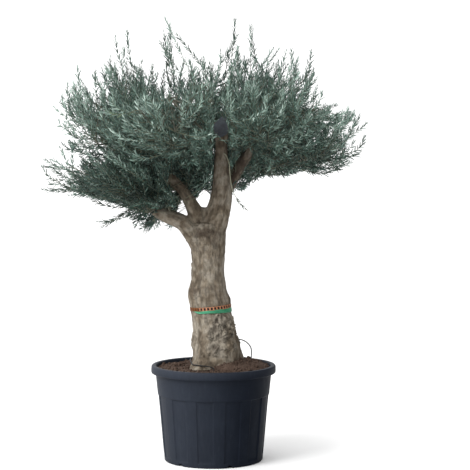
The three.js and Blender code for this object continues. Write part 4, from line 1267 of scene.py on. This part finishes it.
def in_clearing(points, share=1.0):
    return (((points - CLEARING_CENTRE) / CLEARING_RADII) ** 2).sum(1) < share ** 2


def in_space(mass, points):
    shares = shares_of(points)
    own = shares[:, mass]
    others = np.delete(shares, mass, axis=1).min(1)
    return (own <= SPACE_SHARE) & (others >= own + BORDER_MARGIN) & ~in_clearing(points)


def reach_of(mass, direction, share):
    full = share / np.linalg.norm(direction / RADII[mass])
    reach = 0.0
    while reach < full and in_space(mass, (CENTRES[mass] + direction * (reach + REACH_STEP))[None])[0]:
        reach += REACH_STEP
    return min(reach, full)


def field_at(points):
    points = np.atleast_2d(points)
    up = FIELD["up"] * np.clip((points[:, 2] - FIELD["level"]) / FIELD["rise"], FIELD["droop"], 1)
    return unit(FIELD["out"] * unit(points - FOCUS) + up[:, None] * UP)


def stem_of(mass):
    limb, centre = MASSES[MASS_NAMES[mass]][0], CENTRES[mass]
    line, radii = LIMBS[limb]
    start = np.array(line[-1], float)
    tip = spline(line, [0.999, 1])
    rise = field_at(centre)[0]
    end = centre + rise * reach_of(mass, rise, STEM["rise"])
    bend = start + unit(tip[1] - tip[0]) * STEM["bend"] * np.linalg.norm(end - start)
    return (start, bend, end), STEM["width"] * radii[-1]


def targets_of(mass):
    found = [np.array(tip, float) for tip in MASSES[MASS_NAMES[mass]][3]]
    for index in range(TWIG["count"]):
        rise = 1 - 2 * (index + 0.5) / TWIG["count"]
        around = index * GOLDEN_ANGLE + mass + TWIG["sway"] * chance(index, mass + 1)
        flat = math.sqrt(1 - rise * rise)
        direction = np.array([flat * math.cos(around), flat * math.sin(around), rise])
        share = mix(*TWIG["ends"], chance(index, mass + SALT["share"]))
        found.append(CENTRES[mass] + direction * reach_of(mass, direction, share))
    return found


def twig_to(target, stem):
    start, _, end = stem
    span = end - start
    rate, shift, low, high = TWIG["root"]
    share = np.clip(rate * (target - start).dot(span) / span.dot(span) + shift, low, high)
    root = bezier(*stem, [share])[0]
    field = field_at(target)[0]
    length = np.linalg.norm(target - root)
    last = target - field * min(SPRAY_LENGTH, TWIG["leaf_share"] * length)
    return root, last - field * TWIG["bend"] * length, last


def crown_share(points):
    """One share for the whole crown: under 1 inside, with the corners between masses filled."""
    shares = shares_of(points)
    return 1 - np.log(np.exp(-CROWN_BLEND * (shares - 1)).sum(1)) / CROWN_BLEND


def seen_at(points):
    """Where the level view shows points, as x and height at y = 0."""
    scale = -VIEWPOINT[1] / (points[:, 1] - VIEWPOINT[1])
    x = VIEWPOINT[0] + (points[:, 0] - VIEWPOINT[0]) * scale
    z = VIEWPOINT[2] + (points[:, 2] - VIEWPOINT[2]) * scale
    return np.stack([x, z], -1)


BARE_LINES = []
for limb_name, first_share, last_share, half_width in BARE_STRETCHES:
    stretch = spline(LIMBS[limb_name][0], np.linspace(first_share, last_share, 20))
    BARE_LINES.append((seen_at(stretch), stretch[:, 1].mean(), half_width))
BARE_LINES.append((seen_at(CUT_CENTRE[None]), CUT_CENTRE[1], CUT_WINDOW))


def hides_something(points):
    """Whether points stand where the photograph shows sky or a bare bough."""
    seen = seen_at(points)
    hidden = in_clearing(points, CLEARING_SHARE)
    for x, z, wide, tall in SKY_GAPS:
        hidden |= ((seen[:, 0] - x) / wide) ** 2 + ((seen[:, 1] - z) / tall) ** 2 < 1
    for line, depth, half_width in BARE_LINES:
        away = np.linalg.norm(seen[:, None] - line[None], axis=2).min(1)
        hidden |= (away < half_width) & (points[:, 1] < depth)
    return hidden


def outline_depth(points):
    """How far inside the crown's outline the level view shows points; negative outside it."""
    seen = seen_at(points)
    ways = np.roll(CROWN_OUTLINE, -1, axis=0) - CROWN_OUTLINE
    offsets = seen[:, None] - CROWN_OUTLINE[None]
    along = np.clip((offsets * ways).sum(2) / (ways ** 2).sum(1), 0, 1)
    away = np.linalg.norm(offsets - along[..., None] * ways, axis=2).min(1)
    between = (offsets[..., 1] >= 0) != (offsets[..., 1] >= ways[:, 1])
    slope = ways[:, 0] / np.where(ways[:, 1] == 0, 1, ways[:, 1])
    crossed = between & (offsets[..., 0] < offsets[..., 1] * slope)
    return np.where(crossed.sum(1) % 2 == 1, away, -away)


def over_foot(points):
    """How high over the crown's foot the level view shows points."""
    seen = seen_at(points)
    return seen[:, 1] - np.interp(seen[:, 0], *np.transpose(CROWN_FOOT))


def edge_chance(points):
    """The chance of a shoot's tip at each point, which falls off through the crown's ragged edge."""
    near_foot = smooth_step(FOOT_REACH, 0, np.abs(over_foot(points)))
    depth = outline_depth(points) * (1 + (FOOT_SHARPNESS - 1) * near_foot)
    low, high = EDGE_SHARES
    in_outline = smooth_step(-EDGE_OUTSIDE, EDGE_INSIDE, depth) ** EDGE_POWER
    return in_outline * smooth_step(high, low, crown_share(points))


def in_box(points):
    return ((points > CAD_LOW) & (points < CAD_HIGH)).all(1)


NEARLY_UP = UP + [0.01, 0.02, 0]  # a way that no shoot takes exactly


def leaves_along(curve, length, spacing, start_share, sizes, turn):
    """Roots, directions, sides and lengths of opposite pairs along a shoot, each pair turned a quarter."""
    count = max(int(length * (1 - start_share) / spacing), 2)
    shares = np.linspace(start_share, PAIRS["last"], count)
    dense = np.linspace(0, 1, len(curve))

    def at(places):
        return np.stack([np.interp(places, dense, curve[:, axis]) for axis in range(3)], -1)

    roots = at(shares)
    along = unit(at(np.minimum(shares + PAIRS["way"], 1)) - at(shares - PAIRS["way"]))
    side = unit(np.cross(along, NEARLY_UP))
    other = np.cross(side, along)
    spins = turn + np.arange(count) * math.pi / 2 + rng.normal(0, PAIRS["turn"], count)
    end = mix(1, PAIRS["end_size"], (shares - PAIRS["end_from"]) / (1 - PAIRS["end_from"]))
    grow = np.where(shares > PAIRS["end_from"], end, 1)
    grow = grow * np.where(shares < PAIRS["first_to"], PAIRS["first_size"], 1)
    found = []
    for half in (0, math.pi):
        out = np.cos(spins + half)[:, None] * side + np.sin(spins + half)[:, None] * other
        lean = LEAF_LEAN * rng.uniform(*PAIRS["lean"], count) * mix(*PAIRS["lean_along"], shares)
        direction = unit(np.cos(lean)[:, None] * along + np.sin(lean)[:, None] * out)
        across = unit(np.cross(direction, out) + rng.normal(0, PAIRS["twist"], (count, 3)))
        lengths = rng.uniform(*sizes, count) * grow
        found.append((roots, direction, across, lengths))
    return [np.concatenate([pair[i] for pair in found]) for i in range(4)]


# A leaf's points from root to tip: share of its length, share of its width, and height on its ridge.
LEAF_ROWS = [
    (0, 0, 0), (0.3, -0.45, 0), (0.3, 0, 1), (0.3, 0.45, 0), (0.68, -0.36, 0), (0.68, 0, 0.9),
    (0.68, 0.36, 0), (1, 0, 0),
]
UPPER_FACES = np.array([
    [0, 1, 2], [0, 2, 3], [1, 4, 5], [1, 5, 2], [2, 5, 6], [2, 6, 3], [4, 7, 5], [5, 7, 6],
])
LOWER_FACES = np.array([[0, 3, 1], [1, 3, 6], [1, 6, 4], [4, 6, 7]])
LEAF_FACES = np.vstack([UPPER_FACES, LOWER_FACES])[:, ::-1]


def leaf_points(roots, directions, across, lengths):
    across = unit(across - directions * (across * directions).sum(1, keepdims=True))
    normal = np.cross(directions, across)
    found = []
    for share, side, ridge in LEAF_ROWS:
        rise = LEAF_RIDGE * ridge - LEAF_ARCH * share ** 2
        found.append(roots + lengths[:, None] * (
            share * directions + LEAF_WIDTH * side * across + rise * normal))
    return np.stack(found, 1)


# Upper faces from the darkest sprays, low in the crown where they carry its painted shade, to the palest, and
# the under faces that go with them.
LEAF_TINTS = [
    ("leaf_deep", (0.010, 0.023, 0.017)), ("leaf_dark", (0.021, 0.044, 0.033)),
    ("leaf_green", (0.042, 0.080, 0.061)), ("leaf_grey", (0.082, 0.136, 0.109)),
    ("leaf_pale", (0.165, 0.240, 0.200)), ("leaf_young", (0.085, 0.130, 0.068)),
]
UNDER_TINTS = [
    ("leaf_under_dark", (0.045, 0.078, 0.064)), ("leaf_under", (0.15, 0.21, 0.18)),
    ("leaf_under_pale", (0.34, 0.43, 0.38)),
]
UNDER_OF_TINT = np.array([0, 0, 1, 1, 2, 1])
DARK_TINT, PALE_TINT, YOUNG_TINT = 1, 4, 5
YOUNG_FROM = 0.85  # share of the way out beyond which a spray may be young
YOUNG_CHANCE = 0.015
INNER_FROM = 0.9  # share of the way out inside which sprays get darker as painted shade, and how much
INNER_DARK = 2.2
SPRAY_SPREAD = 1.0
LEAF_SPREAD = 0.95
# How pale sprays are by height: darkest low in the crown, painted shade for its shadowed underside, palest
# over its middle.
TONES = [(1300, 0.2), (1450, 0.75), (1600, 1.75), (1740, 2.8), (1900, 2.8), (2040, 2.2), (2200, 1.8)]


def tints_of(target, share, count):
    """Tints of a spray's leaves: paler with height and outwards, darker low and deep in the crown as painted
    shade, and now and then a young shoot's.
    """
    if share > YOUNG_FROM and rng.uniform() < YOUNG_CHANCE:
        return np.full(count, YOUNG_TINT)
    inner = INNER_DARK * max(0, INNER_FROM - share)
    tone = np.interp(target[2], *np.transpose(TONES)) - inner + rng.normal(0, SPRAY_SPREAD)
    return np.clip(np.round(tone + rng.normal(0, LEAF_SPREAD, count)), 0, PALE_TINT).astype(int)


def add_leaves(name, leaves, materials, replaces=()):
    """One piece of leaves, given as a list of (roots, directions, across, lengths, tint of each)."""
    roots, directions, across, lengths, tints = (
        np.concatenate([part[i] for part in leaves]) for i in range(5))
    points = leaf_points(roots, directions, across, lengths)
    faces = np.arange(len(points))[:, None, None] * len(LEAF_ROWS) + LEAF_FACES[None]
    mesh = mesh_from(name, points.reshape(-1, 3), faces.reshape(-1, 3))
    add_piece(name, mesh, materials, replaces, smooth=False)
    sides = np.stack([tints, len(LEAF_TINTS) + UNDER_OF_TINT[tints]], 1)
    slots = np.repeat(sides, [len(UPPER_FACES), len(LOWER_FACES)], 1)
    mesh.polygons.foreach_set("material_index", slots.ravel().astype(np.int32))


TWIG_RADII = (6, 3)
LEAF_CLEAR = 3  # how far the tips of leaves and the shoots themselves stay clear of the wood
SHOOT_CLEAR = 2
GRID_MARGIN = 60


def make_crown():
    leaf_materials = make_leaf_materials()
    shoot_bark = make_shoot_material("shoot_bark", (0.115, 0.12, 0.082))
    twig_bark = make_mottled("twig_bark", 0.9, 0.25, (30, 4), [
        (0.3, (0.055, 0.052, 0.040)), (0.7, (0.125, 0.125, 0.098))], ((150, 4), 0.6, 0.002))
    twigs, skeletons = grow_twigs()
    shoots, leaves = grow_shoots(grow_branchlets(twigs, skeletons))
    for mass, name in enumerate(MASS_NAMES):
        short = name.replace("foliage_", "")
        add_leaves(f"leaves_{short}", leaves[mass], leaf_materials, (name,))
        add_piece(f"shoots_{short}", shoots[mass].mesh(f"shoots_{short}"), [shoot_bark])
        add_piece(f"twigs_{short}", twigs[mass].mesh(f"twigs_{short}"), [twig_bark])


def count_before_gap(flags):
    """How many flags are set before the first that isn't."""
    return len(flags) if flags.all() else int(np.argmin(flags))


def grow_twigs():
    """Each mass's stem and twigs by the source's rule, and the points where finer ones may start."""
    twigs = [Batch() for _ in MASS_NAMES]
    skeletons = []
    for mass, name in enumerate(MASS_NAMES):
        stem, stem_radius = stem_of(mass)
        shares = np.linspace(0, 1, 15)
        points = bezier(*stem, shares)
        twigs[mass].add(*tube(points, mix(stem_radius, STEM["tip_radius"], shares), 14))
        limb_line = LIMBS[MASSES[name][0]][0]
        found = [spline(limb_line, np.linspace(LIMB_SHOOTS, 1, 12)), points]
        for target in targets_of(mass):
            curve = twig_to(target, stem)
            test = bezier(*curve, np.linspace(0, 1, TWIG["steps"] + 1))
            fits = in_space(mass, test) & clear_of_wood(test, WOOD_MARGIN + TWIG["radii"][0])
            fits[0] = True
            steps = count_before_gap(fits) - 1
            if steps < 1:
                continue
            points = bezier(*curve, np.linspace(0, steps / TWIG["steps"], 9))
            inside = (outline_depth(points) > TWIG_INSIDE) & (crown_share(points) < TWIG_SHARE)
            points = points[:count_before_gap(inside)]
            if len(points) < 3:
                continue
            twigs[mass].add(*tube(points, np.linspace(*TWIG_RADII, len(points)), 6))
            found.append(points)
        skeletons.append(np.vstack(found))
    return twigs, skeletons


def grow_branchlets(twigs, skeletons):
    """Adds branchlets to the twigs, and returns the skeletons with theirs."""
    branchlets = crown_grid(BRANCHLET_CELL, *BRANCHLET_SHARES)
    branchlets = branchlets[outline_depth(branchlets) > BRANCHLET_INSIDE]
    grown = [[] for _ in MASS_NAMES]
    uses = [np.zeros(len(skeleton)) for skeleton in skeletons]
    for target, owner, field in zip(branchlets, shares_of(branchlets).argmin(1), field_at(branchlets)):
        points = shoot_to(target, field, rng.uniform(*SHOOT_LENGTH), skeletons[owner], uses[owner])
        if points is not None:
            twigs[owner].add(*tube(points, np.linspace(*BRANCHLET_RADII, SHOOT_STEPS + 1), 5))
            grown[owner].append(points[1:])
    return [np.vstack([first, *more]) for first, more in zip(skeletons, grown)]


def grow_shoots(skeletons):
    """The shoots of each mass, and its leaves as a list for add_leaves."""
    uses = [np.zeros(len(skeleton)) for skeleton in skeletons]
    leaves = [[] for _ in MASS_NAMES]
    shoots = [Batch() for _ in MASS_NAMES]
    filling = crown_grid(SHOOT_CELL, SHOOT_DEPTH, EDGE_SHARES[1])
    filling = filling[rng.uniform(size=len(filling)) < edge_chance(filling)]
    targets = np.vstack([filling, single_targets()])
    targets = np.clip(targets, CAD_LOW + BOX_MARGIN, CAD_HIGH - BOX_MARGIN)
    shares = crown_share(targets)
    owners = shares_of(targets).argmin(1)
    for number, (target, owner, field) in enumerate(zip(targets, owners, field_at(targets))):
        single = number >= len(filling)
        tall = single and target[2] > SPIKE_LOW
        length = rng.uniform(*(SPIKE_LENGTH if tall else SHOOT_LENGTH))
        field = unit(field + SHOOT_UP * smooth_step(SHOOT_UP_FROM, SHOOT_UP_TO, target[2]) * UP)
        if length > SHOOT_LENGTH[1]:
            field = unit(field + SPIKE_UP * UP)
        outside = SINGLE_OUTSIDE if single else EDGE_OUTSIDE
        points = shoot_to(target, field, length, skeletons[owner], uses[owner], outside)
        if points is None:
            continue
        span = points[-1] - points[0]
        reach = np.linalg.norm(span)
        if tall and span.dot(field) < SPIKE_ALONG * reach:
            continue
        shoots[owner].add(*tube(points, np.linspace(*SHOOT_RADII, SHOOT_STEPS + 1), 3))
        bare = np.clip(1 - BARE_START * length / reach, *LEAF_BARE)
        found = leaves_along(points, reach, LEAF_SPACING, bare, LEAF_LENGTH, rng.uniform(0, TURN))
        tips = found[0] + found[1] * found[3][:, None]
        keep = ~hides_something(tips) & ~hides_something(found[0])
        keep &= clear_of_wood(tips, LEAF_CLEAR) & in_box(tips)
        count = int(keep.sum())
        if count:
            tints = tints_of(target, shares[number], count)
            leaves[owner].append([part[keep] for part in found] + [tints])
    return shoots, leaves


def shoot_to(target, field, length, skeleton, uses, outside=0):
    """A shoot's line to its tip from the wood nearest to its start, or None where it may not pass."""
    way = unit(field + SHOOT_SWAY * rng.normal(size=3))
    place = (np.linalg.norm(skeleton - target + way * length, axis=1) + ROOT_CROWDING * uses).argmin()
    root = skeleton[place]
    bend = target - way * np.linalg.norm(target - root) * SHOOT_BEND
    points = bezier(root, bend, target, np.linspace(0, 1, SHOOT_STEPS + 1))
    inner = points[1:-1]
    if not clear_of_wood(points[2:], SHOOT_CLEAR).all() or not in_box(points).all():
        return None
    if (over_foot(inner) <= -FOOT_SLACK * outside).any() or (outline_depth(inner) < -outside).any():
        return None
    if hides_something(points[2:]).any():
        return None
    uses[place] += 1
    return points


def crown_grid(cell, first_share, last_share):
    """Points through the crown between two shares of the way out, one in each cell of a jittered grid."""
    low, high = (CENTRES - RADII).min(0) - GRID_MARGIN, (CENTRES + RADII).max(0) + GRID_MARGIN
    cells = [np.arange(a, b, cell) for a, b in zip(low, high)]
    grid = np.stack(np.meshgrid(*cells, indexing="ij"), -1).reshape(-1, 3)
    grid = grid + rng.uniform(0, cell, grid.shape)
    share = crown_share(grid)
    return grid[(share > first_share) & (share < last_share)]


def single_targets():
    """Named tips, and tips over the crown, loose round it, under its low left, at the fork and on boughs."""
    tips = np.array([tip for name in MASS_NAMES for tip in MASSES[name][3]], float)
    tips = tips[tips[:, 2] > HANGING_LOW]
    high = tips[tips[:, 2] > COMPANY_FROM]
    company = np.repeat(high, COMPANY, 0) + rng.uniform(COMPANY_LOW, COMPANY_HIGH, (len(high) * COMPANY, 3))
    x = rng.uniform(CROWN_TOP[0][0], CROWN_TOP[-1][0], SPIKE_COUNT)
    y = rng.uniform(-SPIKE_DEPTH, SPIKE_DEPTH, SPIKE_COUNT) * np.sqrt(1 - (x / SPIKE_SPAN) ** 2)
    rise = mix(*SPIKE_RISE, rng.uniform(size=SPIKE_COUNT) ** SPIKE_SKEW)
    spikes = np.stack([x, y, np.interp(x, *np.transpose(CROWN_TOP)) + rise - SPIKE_FALL * y ** 2], -1)
    corners = [(end[0], way * LOOSE_DEPTH, height)
               for end, way, height in zip((CAD_LOW, CAD_HIGH), (-1, 1), LOOSE_HEIGHTS)]
    loose = rng.uniform(*corners, (LOOSE_TRIES, 3))
    out = -outline_depth(loose)
    placed = (out > LOOSE_OUT[0]) & (out < LOOSE_OUT[1]) & (crown_share(loose) < LOOSE_SHARE)
    placed &= over_foot(loose) > -LOOSE_UNDER
    loose = loose[placed][:LOOSE_COUNT]
    low_x = rng.uniform(HANGING_FOOT[0][0], HANGING_FOOT[-1][0], HANGING_COUNT)
    low_z = np.interp(low_x, *np.transpose(HANGING_FOOT)) + rng.uniform(*HANGING_RISE, HANGING_COUNT)
    hanging = np.stack([low_x, rng.uniform(*HANGING_Y, HANGING_COUNT), low_z], -1)
    backing = rng.uniform(BACKING_LOW, BACKING_HIGH, (BACKING_COUNT, 3))
    covers = [rng.uniform(low, high, (count, 3)) for count, low, high in COVERS]
    return np.vstack([tips, company, spikes, loose, hanging, SPRIG, backing, *covers])


# The drooping shoot

DROOP_LINE = [
    [44, -22, 1600], [65, -56, 1586], [80, -79, 1546], [84, -85, 1500], [98, -88, 1408], [117, -86, 1370],
    [140, -84, 1334], [176, -80, 1304],
]
DROOP = {"radii": (3.2, 1.1), "length": 420, "spacing": 17, "bare": 0.72, "leaves": (24, 36), "turn": 0.4}


def make_drooping_shoot():
    route = spline(DROOP_LINE, np.linspace(0, 1, 60))
    mesh = mesh_from("drooping_stem", *tube(route, np.linspace(*DROOP["radii"], len(route)), 8))
    bark = make_shoot_material("drooping_bark", (0.26, 0.26, 0.19))
    add_piece("drooping_stem", mesh, [bark], ("drooping_shoot",))
    found = leaves_along(
        route, DROOP["length"], DROOP["spacing"], DROOP["bare"], DROOP["leaves"], DROOP["turn"])
    # The drooping leaves all take the dark tint, the painted shade of sprays low in the crown.
    dark = np.full(len(found[0]), DARK_TINT)
    add_leaves("drooping_leaves", [found + [dark]], make_leaf_materials("droop_"))


# The stage

FLOOR_SIZE = 60  # in metres
FLOOR_SHADE = 0.8
# Soft light all round, stronger overhead and from the left, and white at the horizon.
SKY_HORIZON = 1.16
SKY_OVERHEAD = 1.68
SKY_LEFT = 1.4
SKY_RIGHT = 0.25
SKY_LEFT_END = -0.5  # how far to the left the sky keeps its full strength
LIGHTS = [
    ("key", (-4200, -3800, 5200), (0, 0, 1300), 3200, 420),
]


def stand(piece, place, aim):
    """Puts a lamp or camera at a place, aimed at a point."""
    piece.location = Vector(place) * MM
    piece.rotation_euler = (Vector(aim) - Vector(place)).to_track_quat("-Z", "Y").to_euler()


def make_stage():
    scene = bpy.context.scene
    bpy.ops.mesh.primitive_plane_add(size=FLOOR_SIZE, location=(0, 0, 0))
    floor = bpy.context.object
    floor.name = "floor"
    material, _, shader = new_material("floor", 0.9, 0.1)
    shader.inputs["Base Color"].default_value = (FLOOR_SHADE, FLOOR_SHADE, FLOOR_SHADE, 1)
    floor.data.materials.append(material)

    world = bpy.data.worlds.new("studio")
    scene.world = world
    world.use_nodes = True
    tree = world.node_tree
    coordinates = tree.nodes.new("ShaderNodeTexCoord")
    way = add_node(tree, "ShaderNodeSeparateXYZ", Vector=coordinates.outputs["Generated"])
    overhead = add_node(tree, "ShaderNodeMapRange", Value=way.outputs["Z"], From_Min=0, From_Max=1,
                        To_Min=SKY_HORIZON, To_Max=SKY_OVERHEAD)
    aside = add_node(tree, "ShaderNodeMapRange", {"interpolation_type": "SMOOTHSTEP"}, Value=way.outputs["X"],
                     From_Min=SKY_LEFT_END, From_Max=1, To_Min=SKY_LEFT, To_Max=SKY_RIGHT)
    strength = add_node(tree, "ShaderNodeMath", {"operation": "MULTIPLY"})
    tree.links.new(overhead.outputs["Result"], strength.inputs[0])
    tree.links.new(aside.outputs["Result"], strength.inputs[1])
    tree.links.new(strength.outputs[0], tree.nodes["Background"].inputs["Strength"])
    tree.nodes["Background"].inputs["Color"].default_value = (1, 1, 1, 1)

    for name, place, aim, size, power in LIGHTS:
        data = bpy.data.lights.new(name, "AREA")
        data.size = size * MM
        data.energy = power
        stand(link(name, data), place, aim)

    data = bpy.data.cameras.new("camera")
    data.lens = CAMERA_LENS
    data.sensor_width = 36
    camera = link("camera", data)
    stand(camera, CAMERA_PLACE, CAMERA_AIM)
    scene.camera = camera
    scene.view_settings.view_transform = "Standard"


make_stage()
make_pot()
make_soil()
make_wood()
make_seal()
make_ties()
make_line()
make_crown()
make_drooping_shoot()
